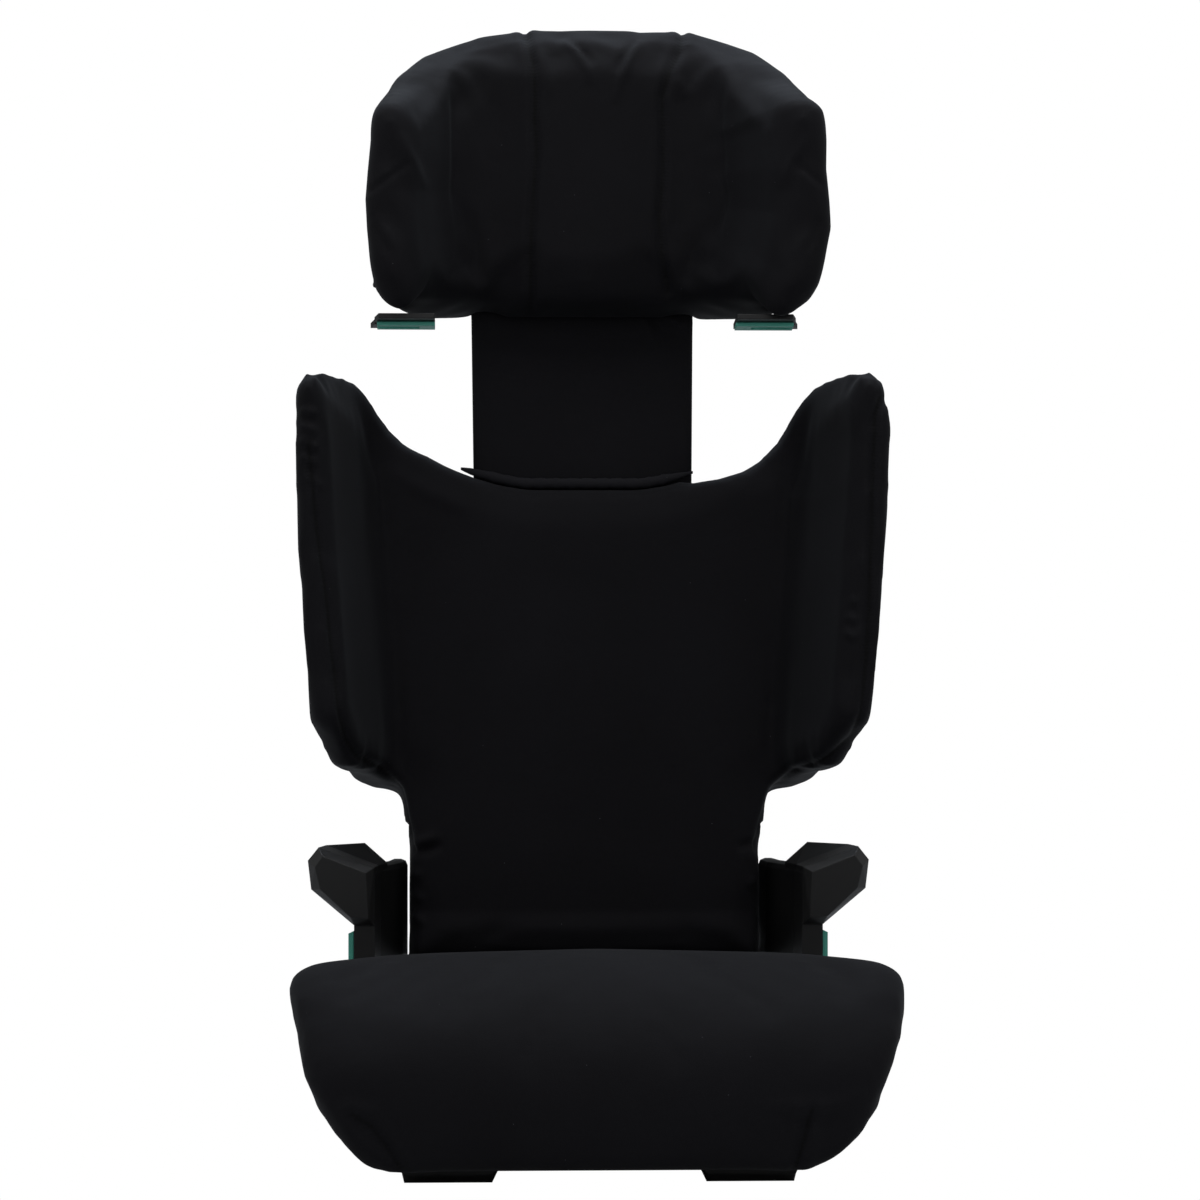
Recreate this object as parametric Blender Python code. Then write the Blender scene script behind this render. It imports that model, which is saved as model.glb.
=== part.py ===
"""High-back child booster seat: base, tilting backrest and height-adjustable headrest.

Metres, +Z up, the sitter faces -Y. The base stands on Z = 0. The backrest and headrest are
drawn upright in the backrest's own frame, whose origin is the hinge rod, and lean back with it.
"""
import math

import bmesh
import bpy
from mathutils import Matrix, Vector

# Fits
GAP = 0.0003
RUN_GAP = 0.0005
COVER_T = 0.003
SHELL_T = 0.003
SEAT_IN_COVER = COVER_T + GAP

# Seat cushion and base
LIP_FRONT_Y = -0.240
CROWN_Y = -0.155
EAR_REAR_Y = 0.010
SEAT_REAR_Y = 0.075
BASE_REAR_Y = 0.1625
LIP_HALF = 0.2265
EAR_HALF = 0.189
TONGUE_HALF = 0.150
TONGUE_REAR_HALF = 0.137
CROWN_Z = 0.159
SEAT_EAR_Z = 0.131
SEAT_REAR_Z = 0.113
LIP_BREAK_Z = 0.084
HEM_Z = 0.0115
SEAT_CROWN = 0.006
SIDE_TAPER = 0.046
LIP_CORNER_R = 0.070
SEAT_EDGE_R = 0.022
FOAM_T = 0.026
FRONT_PAD = 0.014
SIDE_PAD = 0.009
SHOULDER_HALF = 0.1765
SHOULDER_REAR_HALF = 0.168
SHOULDER_Z = 0.090
COVER_TURN_UNDER = 0.162
COVER_EDGE_RISE = 0.008
RIB_T = 0.0025
CROSS_RIBS_Y = (-0.150, -0.070, 0.010, 0.082)
SKID_IN = 0.068
SKID_OUT = 0.140
SKID_CHAMFER = 0.007
SKID_FRONT_Y = -0.205
SKID_REAR_Y = 0.155
SKID_RIB_INSET = 0.014
LIP_ROUND = 0.022
EAR_STEP = 0.006
TONGUE_ROUND = 0.006
PAN_EDGE_R = 0.010
PAN_MOUTH_HALF = 0.105
PAN_TUCK = 0.034
PAN_CORNER_R = 0.018
PAN_CROWN = 0.002
PAN_MOUTH_DROP = 0.020

# Armrests with belt horns
ARM_FRONT_Y = 0.020
ARM_REAR_Y = 0.150
ARM_INNER_FRONT = 0.161
ARM_INNER_REAR = 0.1375
ARM_T = 0.0155
ARM_TOP_FRONT_Z = 0.2065
ARM_TOP_REAR_Z = 0.2045
HORN_TIP = 0.211
HORN_TOP_Z = 0.2215
HORN_LOW_Z = 0.190
HORN_ROOT_Z = 0.163
HORN_LENGTH = 0.055
HORN_ROUND = 0.010
CAP_T = 0.009
CAP_FACET = 0.007
LAP_GUIDE_T = 0.004
LAP_GUIDE_LOW_Z = 0.100
LAP_GUIDE_TOP_Z = 0.158
LAP_GUIDE_LENGTH = 0.045
LAP_GUIDE_SEAT = 0.0004
SCREW_HEAD_R = 0.004
SCREW_HEAD_T = 0.0022
ARM_SCREW_PITCH = 0.045
ARM_SCREW_SEAT = 0.0014

# Hinge of the backrest
LEAN = math.radians(6.0)
HINGE_Y = 0.130
HINGE_Z = 0.075
ROD_R = 0.004
ROD_HALF = 0.134
HOOK_R = 0.0095
HOOK_IN = 0.095
HOOK_OUT = 0.113
TROUGH_HALF = 0.128
TROUGH_FRONT_Y = 0.100
TROUGH_REAR_Y = 0.158
TROUGH_FLOOR_Z = 0.055
ROD_CAP_R = 0.0065
ROD_CAP_T = 0.004

# Backrest, heights above the hinge rod
BACK_FRONT_Y = -0.045
BACK_T = 0.067
BACK_FLAT = 0.143
BACK_BEND_R = 0.027
BACK_TURN = math.radians(73.0)
WING_LENGTH = 0.100
WING_ROOT_T = 0.034
WING_EDGE_T = 0.025
BACK_TOP = 0.418
SHOULDER_TOP = 0.432
SHOULDER_HALF_LOW = 0.110
EAR_INNER_TOP = 0.492
WING_TOP = 0.499
FLAP_LOW = 0.055
FLAP_HALF = 0.134
WAIST_LOW = 0.140
WAIST_HALF = 0.1395
WAIST_STEP = 0.003
WAIST_TOP = 0.183
WING_LOW = 0.190
WING_FRONT_LOW = 0.220
WING_SPREAD = 0.075
WING_PLUMB_Z = 0.385
BACK_EDGE_R = 0.013
BACK_CROWN = 0.004
COVER_WRAP = 0.010
FOAM_SHY = 0.0022
HEM_R = 0.0025

# Headrest, heights above the hinge rod
HEAD_FRONT_Y = -0.055
HEAD_T = 0.077
HEAD_FLAT = 0.072
HEAD_BEND_R = 0.050
HEAD_TURN = math.radians(62.0)
HEAD_WING_LENGTH = 0.070
HEAD_WING_ROOT_T = 0.045
HEAD_WING_EDGE_T = 0.035
HEAD_TOP = 0.781
HEAD_CORNER_TOP = 0.712
HEAD_CORNER = 0.055
HEAD_LOW = 0.555
HEAD_WING_LOW = 0.5435
HEAD_CORNER_LOW = 0.556
HEAD_EDGE_R = 0.020
HEAD_CROWN = 0.006

# Neck carrier and its slide
CARRIER_HALF = 0.080
CARRIER_FRONT_Y = -0.010
CARRIER_T = 0.008
CARRIER_LOW = 0.228
NECK_TOP_HALF = 0.0885
NECK_LOW_HALF = 0.0845
NECK_FRONT_T = 0.004
NECK_LIP = 0.010
NECK_LIP_T = 0.002
NECK_LOW = 0.300
NECK_TOP = 0.600
CHANNEL_LOW = 0.140
RUNNER_X = 0.060
RUNNER_T = 0.006
RUNNER_DEPTH = 0.0115
RAIL_HALF = 0.009
RAIL_LOW = 0.145
RAIL_TOP = 0.405

# Height rack and release
NOTCHES = 7
NOTCH_PITCH = 0.012
RACK_HALF = 0.012
RACK_DEPTH = 0.009
NOTCH_DEPTH = 0.005
NOTCH_RISE = 0.0032
RACK_END = 0.008
TOOTH_H = 0.006
TOOTH_BITE = 0.0043
PAWL_ARM = 0.018
PAWL_PIVOT_Y = 0.000
PAWL_PIVOT_Z = 0.250
PAWL_HALF = 0.010
PAWL_ARM_T = 0.006
PAWL_EYE_R = 0.0045
PIN_R = 0.002
PIN_HALF = 0.0195
LUG_REACH = 0.0105
LUG_R = 0.0015
LUG_OUT = 0.0185
PULL_X = 0.0165
PULL_R = 0.0018
PULL_Y = 0.0129
HANDLE_HALF = 0.040
HANDLE_DROP = 0.091
HANDLE_H = 0.020
HANDLE_TRAVEL = 0.005
HANDLE_WINDOW_HALF = 0.035
HANDLE_WINDOW_H = 0.024
SPRING_COILS = 6
SPRING_R = 0.004
SPRING_WIRE_R = 0.0006
SPRING_X = 0.022
SPRING_Y = 0.0075
SPRING_LENGTH = 4 * HANDLE_TRAVEL
STOP_BAR_H = 0.006
STOP_ROOM = 0.028
CARRIER_HOLES = 4
CARRIER_HOLE_PITCH = 0.085
CARRIER_HOLE_HALF = 0.042
WINDOW_ROWS = 5
WINDOW_PITCH = 0.050
WINDOW_HEIGHT = 0.032
WINDOW_WIDTH = 0.030

# Shoulder belt guides under the headrest wings
GUIDE_IN = 0.116
GUIDE_OUT = 0.166
GUIDE_FRONT_Y = -0.108
GUIDE_REAR_Y = -0.064
GUIDE_SLANT = 0.007
GUIDE_PLATE_T = 0.004
GUIDE_HOOK_T = 0.003
GUIDE_HOOK_INSET = 0.002
GUIDE_HOOK_ARM = 0.005
GUIDE_SLOT = 0.009
GUIDE_SLOT_IN = 0.012

# Worked out
BACK_REAR_Y = BACK_FRONT_Y + BACK_T
HEAD_REAR_Y = HEAD_FRONT_Y + HEAD_T
SHELL_REAR_Y = BACK_REAR_Y - SEAT_IN_COVER
SHELL_FRONT_Y = SHELL_REAR_Y - SHELL_T
CARRIER_REAR_Y = CARRIER_FRONT_Y + CARRIER_T
HANDLE_LOW = HEAD_TOP - HANDLE_DROP
CARRIER_TOP = HANDLE_LOW + HANDLE_H / 2
NECK_FRONT_Y = CARRIER_FRONT_Y - GAP - NECK_FRONT_T
CHANNEL_FRONT_Y = NECK_FRONT_Y - RUN_GAP
CHANNEL_HALF = NECK_TOP_HALF + RUN_GAP
BACK_END = BACK_FLAT + BACK_BEND_R * BACK_TURN + WING_LENGTH
HEAD_END = HEAD_FLAT + HEAD_BEND_R * HEAD_TURN + HEAD_WING_LENGTH
RUNNER_REAR_Y = CARRIER_REAR_Y + RUNNER_DEPTH
RACK_FRONT_Y = SHELL_FRONT_Y - GAP - RACK_DEPTH
TOOTH_Z = PAWL_PIVOT_Z + PAWL_ARM
SKID_TOP_Z = HEM_Z + SEAT_IN_COVER - GAP
STOP_LOW = HANDLE_LOW + HANDLE_H + SPRING_LENGTH

BLACK_FABRIC = (0.012, 0.013, 0.016)
BLACK_PLASTIC = (0.018, 0.018, 0.019)
TEAL = (0.045, 0.300, 0.225)
FOAM_GREY = (0.22, 0.22, 0.23)
STEEL = (0.55, 0.56, 0.58)


def clear_scene():
    for item in list(bpy.data.objects):
        bpy.data.objects.remove(item, do_unlink=True)


def new_collection(name):
    group = bpy.data.collections.new(name)
    bpy.context.scene.collection.children.link(group)
    return group


def finish(name, colour, roughness, metallic=0.0):
    material = bpy.data.materials.new(name)
    material.use_nodes = True
    shader = material.node_tree.nodes["Principled BSDF"]
    shader.inputs["Base Color"].default_value = (*colour, 1.0)
    shader.inputs["Roughness"].default_value = roughness
    shader.inputs["Metallic"].default_value = metallic
    material.diffuse_color = (*colour, 1.0)
    return material


def axis_empty(name, parent, location, tilt=0.0):
    empty = bpy.data.objects.new(name, None)
    PARTS.objects.link(empty)
    empty.parent = parent
    empty.location = location
    empty.rotation_euler = (tilt, 0.0, 0.0)
    return empty


def mesh_object(name, bm, group, parent):
    bmesh.ops.recalc_face_normals(bm, faces=bm.faces)
    mesh = bpy.data.meshes.new(name)
    bm.to_mesh(mesh)
    bm.free()
    piece = bpy.data.objects.new(name, mesh)
    group.objects.link(piece)
    piece.parent = parent
    return piece


def part(name, bm, parent, colour, roughness, metallic=0.0):
    piece = mesh_object(name, bm, PARTS, parent)
    piece.data.materials.append(finish(name, colour, roughness, metallic))
    return piece


def cutter(name, bm, parent):
    piece = mesh_object(name, bm, CUTTERS, parent)
    piece.hide_render = True
    piece.display_type = "WIRE"
    return piece


def boolean(piece, other, operation="DIFFERENCE", solver="EXACT"):
    step = piece.modifiers.new(other.name, "BOOLEAN")
    step.operation = operation
    step.solver = solver
    step.object = other


def hollow_out(piece, other):
    """Difference for thin curved walls."""
    boolean(piece, other, solver="MANIFOLD")


def add_box(bm, low, high):
    size = [b - a for a, b in zip(low, high)]
    centre = [(a + b) / 2 for a, b in zip(low, high)]
    place = Matrix.Translation(centre) @ Matrix.Diagonal((*size, 1.0))
    bmesh.ops.create_cube(bm, size=1.0, matrix=place)


def box(low, high):
    bm = bmesh.new()
    add_box(bm, low, high)
    return bm


TURN_TO_AXIS = {
    "x": Matrix.Rotation(math.pi / 2, 4, "Y"),
    "y": Matrix.Rotation(-math.pi / 2, 4, "X"),
    "z": Matrix.Identity(4),
}


def add_rod(bm, axis, centre, radius, length, segments=16, radius_end=None):
    place = Matrix.Translation(centre) @ TURN_TO_AXIS[axis]
    end = radius if radius_end is None else radius_end
    bmesh.ops.create_cone(bm, cap_ends=True, segments=segments, radius1=radius,
                          radius2=end, depth=length, matrix=place)


def rod(axis, centre, radius, length, segments=16):
    bm = bmesh.new()
    add_rod(bm, axis, centre, radius, length, segments)
    return bm


def fillet_loop(corners):
    """Closed outline through (a, b, radius, steps) corners, each rounded by an arc."""
    points = []
    for i, (a, b, radius, steps) in enumerate(corners):
        here = Vector((a, b))
        if steps == 0:
            points.append(here)
            continue
        before = Vector(corners[i - 1][:2]) - here
        after = Vector(corners[(i + 1) % len(corners)][:2]) - here
        half = before.angle(after) / 2
        reach = min(radius / math.tan(half), 0.48 * before.length, 0.48 * after.length)
        arc_r = reach * math.tan(half)
        middle = here + (before.normalized() + after.normalized()).normalized() * arc_r / math.sin(half)
        start = here + before.normalized() * reach - middle
        sweep = start.angle_signed(here + after.normalized() * reach - middle)
        for k in range(steps + 1):
            points.append(middle + Matrix.Rotation(-sweep * k / steps, 2) @ start)
    return points


def loft(rings):
    bm = bmesh.new()
    rows = [[bm.verts.new(p) for p in ring] for ring in rings]
    for one, two in zip(rows, rows[1:]):
        for k in range(len(one)):
            n = (k + 1) % len(one)
            bm.faces.new((one[k], one[n], two[n], two[k]))
    bm.faces.new(rows[0])
    bm.faces.new(rows[-1])
    bm.normal_update()
    bmesh.ops.triangulate(bm, faces=bm.faces)
    return bm


def extrude_outline(points, low, high):
    return loft([[(a, b, level) for a, b in points] for level in (low, high)])


def between(table, at):
    """Smooth value between the (position, value) rows of a table."""
    if at <= table[0][0]:
        return table[0][1]
    for (p0, v0), (p1, v1) in zip(table, table[1:]):
        if at <= p1:
            t = (at - p0) / (p1 - p0)
            return v0 + (v1 - v0) * t * t * (3 - 2 * t)
    return table[-1][1]


def bent_point(s, n, z, front_y, flat, radius, turn, spread):
    """Point n behind the front face, s along it: flat, then bent forward into a wing, which leans
    outward by spread for each metre of height."""
    side = -1.0 if s < 0 else 1.0
    run = abs(s) - flat
    angle = min(max(run / radius, 0.0), turn)
    straight = max(run - radius * turn, 0.0)
    x = min(abs(s), flat) + radius * math.sin(angle) + straight * math.cos(angle)
    x += spread * (z - WING_PLUMB_Z) * angle / turn
    y = front_y - radius * (1 - math.cos(angle)) - straight * math.sin(angle)
    return Vector((side * (x + n * math.sin(angle)), y + n * math.cos(angle), z))


def pad_ring(s, bend, near, far, low, high, radius):
    """Rounded section of a padded wall."""
    corners = [(far, low, radius, 2), (far, high, radius, 2), (near, high, radius, 2), (near, low, radius, 2)]
    return [bent_point(s, p.x, p.y, *bend) for p in fillet_loop(corners)]


def padded_wall(stations, bend, tables, edge_r, crown, inset=0.0, layer=None, lip=0.0):
    """Loft of a winged pad over stations (s, kind, low), its front face bulged by crown across the
    middle. inset draws every face in, lip draws the outline alone in and leaves out the round nose,
    and layer = (near, far) keeps one layer of the depth, where far, and near if negative, count from
    the back face."""
    top, depth, low_table, end = tables
    edge = inset + lip
    rings = []
    for s, kind, low in stations:
        at = s - edge if kind else s
        nose = between(((end - edge_r, 0.0), (end - edge_r / 3, edge_r / 4), (end, edge_r * 0.75)), s)
        if lip and kind == NOSE:
            if s < end:
                continue
            at = end - edge_r - edge
            nose = 0.0
        thick = between(depth, at)
        pinch = 0.3 * nose * thick / edge_r
        near = inset + pinch
        far = thick - inset - pinch
        if layer:
            near = layer[0] + pinch if layer[0] >= 0 else thick + layer[0] - pinch
            far = thick + layer[1] - pinch
        if not layer or layer[0] >= 0:
            near -= crown * math.cos(math.pi / 2 * min(1.0, at / bend[1]))
        floor = (between(low_table, at) if low is None else low) + edge + nose
        ceiling = between(top, at) - edge - nose
        rings.append((at, near, far, floor, ceiling, edge_r - inset))
    mirrored = [(-r[0], *r[1:]) for r in reversed(rings) if r[0] > 0]
    return loft([pad_ring(r[0], bend, *r[1:]) for r in mirrored + rings])


def lip_top(y):
    """Height of the cushion's middle line: round lip, crown, then falling to the rear."""
    if y < CROWN_Y:
        t = (y - LIP_FRONT_Y) / (CROWN_Y - LIP_FRONT_Y)
        start = LIP_BREAK_Z + LIP_ROUND / 2
        return start + (CROWN_Z - start) * math.sin(t * math.pi / 2)
    return between(((CROWN_Y, CROWN_Z), (EAR_REAR_Y, SEAT_EAR_Z), (SEAT_REAR_Y, SEAT_REAR_Z)), y)


def ear_half(y):
    if y < CROWN_Y:
        return LIP_HALF - SIDE_TAPER * (CROWN_Z - lip_top(y)) / CROWN_Z
    return between(((CROWN_Y, LIP_HALF), (EAR_REAR_Y, EAR_HALF)), y)


def tongue_half(y):
    return between(((EAR_REAR_Y, TONGUE_HALF), (SEAT_REAR_Y, TONGUE_REAR_HALF)), y)


def lip_rows():
    """(y, moves with an inset, half width, low, top) from the front lip to the ears' rear."""
    rows = []
    for angle in (math.radians(a) for a in (8, 32, 58, 90)):
        y = LIP_FRONT_Y + LIP_ROUND * (1 - math.cos(angle))
        draw = LIP_ROUND * (1 - math.sin(angle))
        rows.append((y, 1, ear_half(y) - draw, HEM_Z + draw * 0.8, lip_top(y) - draw / 2))
    for share in (0.35, 0.7, 1.0):
        y = LIP_FRONT_Y + LIP_ROUND + share * (CROWN_Y - LIP_FRONT_Y - LIP_ROUND)
        rows.append((y, 0, ear_half(y), HEM_Z, lip_top(y)))
    for share in (0.3, 0.65, 0.95, 1.0):
        y = CROWN_Y + share * (EAR_REAR_Y - CROWN_Y)
        rows.append((y, -1 if share > 0.9 else 0, ear_half(y), HEM_Z, lip_top(y)))
    return rows


def tongue_rows():
    start = EAR_REAR_Y + EAR_STEP
    rows = []
    for share, draw in ((0.0, 0.0), (0.5, 0.0), (0.9, 0.0), (0.97, TONGUE_ROUND / 3), (1.0, TONGUE_ROUND)):
        y = start + share * (SEAT_REAR_Y - start)
        follows = -1 if share in (0.0, 1.0) or draw else 0
        rows.append((y, follows, tongue_half(y) - draw, SHOULDER_Z + GAP + draw / 2, lip_top(y) - draw / 2))
    return rows


def seat_ring(y, half, low, top, crown, edge_r, corner_r, tuck=0.0):
    taper = tuck + SIDE_TAPER * min(1.0, (top - low) / CROWN_Z)
    right = [(half - taper, low, corner_r, 3), (half, top - crown, edge_r, 2)]
    left = [(-half, top - crown, edge_r, 2), (-half + taper, low, corner_r, 3)]
    loop = fillet_loop(right + [(0.0, top, 0, 0)] + left + [(0.0, low, 0, 0)])
    return [(p.x, y, p.y) for p in loop]


def cushion(inset):
    """The cushion's outer form, every face drawn in by inset."""
    rings = []
    for y, move, half, low, top in lip_rows() + tongue_rows():
        rings.append(seat_ring(y + move * inset, half - inset, low + inset, top - inset, SEAT_CROWN,
                               SEAT_EDGE_R - inset, LIP_CORNER_R - inset))
    return loft(rings)


def pan_rows(inset):
    """Rows of the moulded pan under the foam, and of its shoulders that carry the armrests."""
    rows = []
    for y, move, half, low, top in lip_rows():
        if move > 0:
            continue
        if not rows:
            y = LIP_FRONT_Y + LIP_ROUND + FRONT_PAD + inset
            half, top = ear_half(y), lip_top(y)
        if move < 0:
            y -= SEAT_IN_COVER + EAR_STEP / 2 + inset
        rows.append((y, half - SEAT_IN_COVER - SIDE_PAD - inset, low + SEAT_IN_COVER + inset,
                     top - SEAT_IN_COVER - FOAM_T - inset))
    start = rows[-1][0] + EAR_STEP / 3
    for y in (start, TROUGH_FRONT_Y, BASE_REAR_Y - inset):
        half = between(((EAR_REAR_Y, SHOULDER_HALF), (BASE_REAR_Y, SHOULDER_REAR_HALF)), y)
        rows.append((y, half - inset, HEM_Z + SEAT_IN_COVER + inset, SHOULDER_Z - inset))
    return rows


def pan(inset, drop=0.0):
    return loft([seat_ring(y, half, low - drop, top, PAN_CROWN, PAN_EDGE_R - inset,
                           PAN_CORNER_R - inset, PAN_TUCK)
                 for y, half, low, top in pan_rows(inset)])


def pan_cavity():
    """Hollow of the pan, open below between its turned-in rims."""
    rings = []
    for y, half, low, top in pan_rows(SHELL_T):
        taper = PAN_TUCK + SIDE_TAPER * min(1.0, (top - low) / CROWN_Z)
        mouth = min(PAN_MOUTH_HALF, half - taper - SHELL_T)
        side = [(mouth, low - PAN_MOUTH_DROP, 0, 0), (mouth, low, 0, 0)]
        side += [(half - taper, low, PAN_CORNER_R - SHELL_T, 3), (half, top, PAN_EDGE_R - SHELL_T, 1)]
        loop = fillet_loop(side + [(-a, b, r, k) for a, b, r, k in reversed(side)])
        rings.append([(p.x, y, p.y) for p in loop])
    return loft(rings)


def base_shell():
    shell = part("base_shell", pan(0.0), None, BLACK_PLASTIC, 0.45)
    hollow = cutter("base_hollow", pan_cavity(), None)
    low, high = (-LIP_HALF, LIP_FRONT_Y), (LIP_HALF, BASE_REAR_Y)
    for i, y in enumerate(CROSS_RIBS_Y):
        rib = box((low[0], y - RIB_T / 2, -PAN_MOUTH_DROP), (high[0], y + RIB_T / 2, CROWN_Z))
        hollow_out(hollow, cutter(f"cross_rib_{i}", rib, None))
    for i, x in enumerate((-SKID_IN - SKID_RIB_INSET, -SKID_IN / 2, SKID_IN / 2, SKID_IN + SKID_RIB_INSET)):
        rib = box((x - RIB_T / 2, low[1], -PAN_MOUTH_DROP), (x + RIB_T / 2, high[1], CROWN_Z))
        hollow_out(hollow, cutter(f"long_rib_{i}", rib, None))
    walls = box((-TROUGH_HALF - SHELL_T, TROUGH_FRONT_Y - SHELL_T, TROUGH_FLOOR_Z - SHELL_T),
                (TROUGH_HALF + SHELL_T, BASE_REAR_Y, CROWN_Z))
    hollow_out(hollow, cutter("trough_walls", walls, None))
    hollow_out(shell, hollow)
    trough = box((-TROUGH_HALF, TROUGH_FRONT_Y, TROUGH_FLOOR_Z), (TROUGH_HALF, TROUGH_REAR_Y, CROWN_Z))
    hollow_out(shell, cutter("trough", trough, None))
    bore = rod("x", (0.0, HINGE_Y, HINGE_Z), ROD_R + GAP, 2 * ROD_HALF + 2 * GAP)
    hollow_out(shell, cutter("rod_bore", bore, None))


def skid(name, side):
    """Runner under the pan with a sloped inner flank and a turned-up front end."""
    flank = [(SKID_IN + SKID_CHAMFER, 0.0, 0, 0), (SKID_OUT - SKID_CHAMFER / 2, 0.0, 0, 0),
             (SKID_OUT, SKID_TOP_Z, 0, 0), (SKID_IN, SKID_TOP_Z, 0, 0)]
    rings = []
    for y, lift in ((SKID_FRONT_Y, SKID_TOP_Z / 2), (SKID_FRONT_Y + SKID_TOP_Z, 0.0), (SKID_REAR_Y, 0.0)):
        rings.append([(side * p.x, y, max(p.y, lift)) for p in fillet_loop(flank)])
    part(name, loft(rings), None, BLACK_PLASTIC, 0.5)


def seat_pad():
    foam = part("seat_foam", cushion(SEAT_IN_COVER), None, FOAM_GREY, 0.9)
    boolean(foam, cutter("foam_seat", pan(-GAP, PAN_MOUTH_DROP), None))
    cover = part("seat_cover", cushion(0.0), None, BLACK_FABRIC, 0.85)
    hollow_out(cover, cutter("seat_cover_inside", cushion(COVER_T), None))
    mouth = box((-COVER_TURN_UNDER, SKID_FRONT_Y - RUN_GAP, -HEM_Z),
                (COVER_TURN_UNDER, EAR_REAR_Y + EAR_STEP, HEM_Z + COVER_T + COVER_EDGE_RISE))
    hollow_out(cover, cutter("seat_cover_mouth", mouth, None))
    passage = box((-SHOULDER_HALF - GAP, EAR_REAR_Y - COVER_T - EAR_STEP, -HEM_Z),
                  (SHOULDER_HALF + GAP, SEAT_REAR_Y, SHOULDER_Z + GAP))
    hollow_out(cover, cutter("shoulder_passage", passage, None))


def arm_inner(y):
    return between(((ARM_FRONT_Y, ARM_INNER_FRONT), (ARM_REAR_Y, ARM_INNER_REAR)), y)


def horn_outline(inner, tip):
    """Front outline of the horn, from the post's foot round the outer tip to the arm's top."""
    root = inner + ARM_T
    return [(inner + GAP, HORN_ROOT_Z), (root, HORN_ROOT_Z), (tip - HORN_ROUND / 4, HORN_LOW_Z),
            (tip, HORN_TOP_Z - HORN_ROUND), (tip - HORN_ROUND * 0.8, HORN_TOP_Z),
            (inner + GAP, ARM_TOP_FRONT_Z - GAP)]


def armrest(side_name, side):
    rings = []
    for share in (0.0, 0.25, 0.5, 0.75, 1.0):
        y = ARM_FRONT_Y + CAP_T / 4 + share * (ARM_REAR_Y - ARM_FRONT_Y - CAP_T / 4)
        inner = arm_inner(y)
        top = between(((ARM_FRONT_Y, ARM_TOP_FRONT_Z), (ARM_REAR_Y, ARM_TOP_REAR_Z)), y)
        low = SHOULDER_Z + GAP - 0.8 * PAN_CROWN
        loop = fillet_loop([(inner, low, 0, 0), (inner + ARM_T, low, 0, 0),
                            (inner + ARM_T, top, ARM_T / 3, 2), (inner, top, ARM_T / 3, 2)])
        rings.append([(side * p.x, y, p.y) for p in loop])
    arm = part(f"armrest_{side_name}", loft(rings), None, BLACK_PLASTIC, 0.38)
    rings = []
    for y, tip in ((ARM_FRONT_Y, HORN_TIP), (ARM_FRONT_Y + HORN_LENGTH / 2, HORN_TIP - HORN_ROUND / 2),
                   (ARM_FRONT_Y + HORN_LENGTH, arm_inner(ARM_FRONT_Y + HORN_LENGTH) + ARM_T + HORN_ROUND)):
        rings.append([(side * a, y, b) for a, b in horn_outline(arm_inner(y), tip)])
    boolean(arm, cutter(f"horn_{side_name}", loft(rings), None), "UNION")

    front = horn_outline(ARM_INNER_FRONT, HORN_TIP)
    middle = Vector((sum(a for a, b in front), sum(b for a, b in front))) / len(front)
    facet = []
    for a, b in front:
        inward = middle - Vector((a, b))
        facet.append(Vector((a, b)) + inward.normalized() * min(CAP_FACET, inward.length / 2))
    back_y = ARM_FRONT_Y - GAP
    rings = [[(side * a, back_y, b) for a, b in front],
             [(side * p.x, back_y - CAP_T, p.y) for p in facet]]
    part(f"armrest_cap_{side_name}", loft(rings), None, BLACK_PLASTIC, 0.32)

    rings = []
    for share in (0.0, 0.5, 1.0):
        y = ARM_FRONT_Y + CAP_T + share * LAP_GUIDE_LENGTH
        face = arm_inner(y) + ARM_T + GAP + LAP_GUIDE_SEAT
        loop = [(face, LAP_GUIDE_LOW_Z), (face + LAP_GUIDE_T, LAP_GUIDE_LOW_Z + LAP_GUIDE_T / 2),
                (face + LAP_GUIDE_T, LAP_GUIDE_TOP_Z - LAP_GUIDE_T / 2), (face, LAP_GUIDE_TOP_Z)]
        rings.append([(side * a, y, b) for a, b in loop])
    part(f"lap_belt_guide_{side_name}", loft(rings), None, TEAL, 0.4)


def armrest_screws():
    for label, side in (("left", -1), ("right", 1)):
        for end, y in (("front", ARM_REAR_Y - ARM_SCREW_PITCH), ("rear", ARM_REAR_Y - 3 * SCREW_HEAD_R)):
            face = arm_inner(y) + ARM_T + GAP + ARM_SCREW_SEAT
            centre = (side * (face + SCREW_HEAD_T / 2), y, SHOULDER_Z + 3 * SCREW_HEAD_R)
            head = rod("x", centre, SCREW_HEAD_R, SCREW_HEAD_T, 12)
            part(f"armrest_screw_{label}_{end}", head, None, STEEL, 0.35, 1.0)


def hinge_rod():
    part("hinge_rod", rod("x", (0.0, HINGE_Y, HINGE_Z), ROD_R, 2 * ROD_HALF), None, STEEL, 0.3, 1.0)
    for label, side in (("left", -1), ("right", 1)):
        centre = (side * (ROD_HALF + GAP + ROD_CAP_T / 2), HINGE_Y, HINGE_Z)
        part(f"rod_cap_{label}", rod("x", centre, ROD_CAP_R, ROD_CAP_T), None, BLACK_PLASTIC, 0.5)


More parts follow.
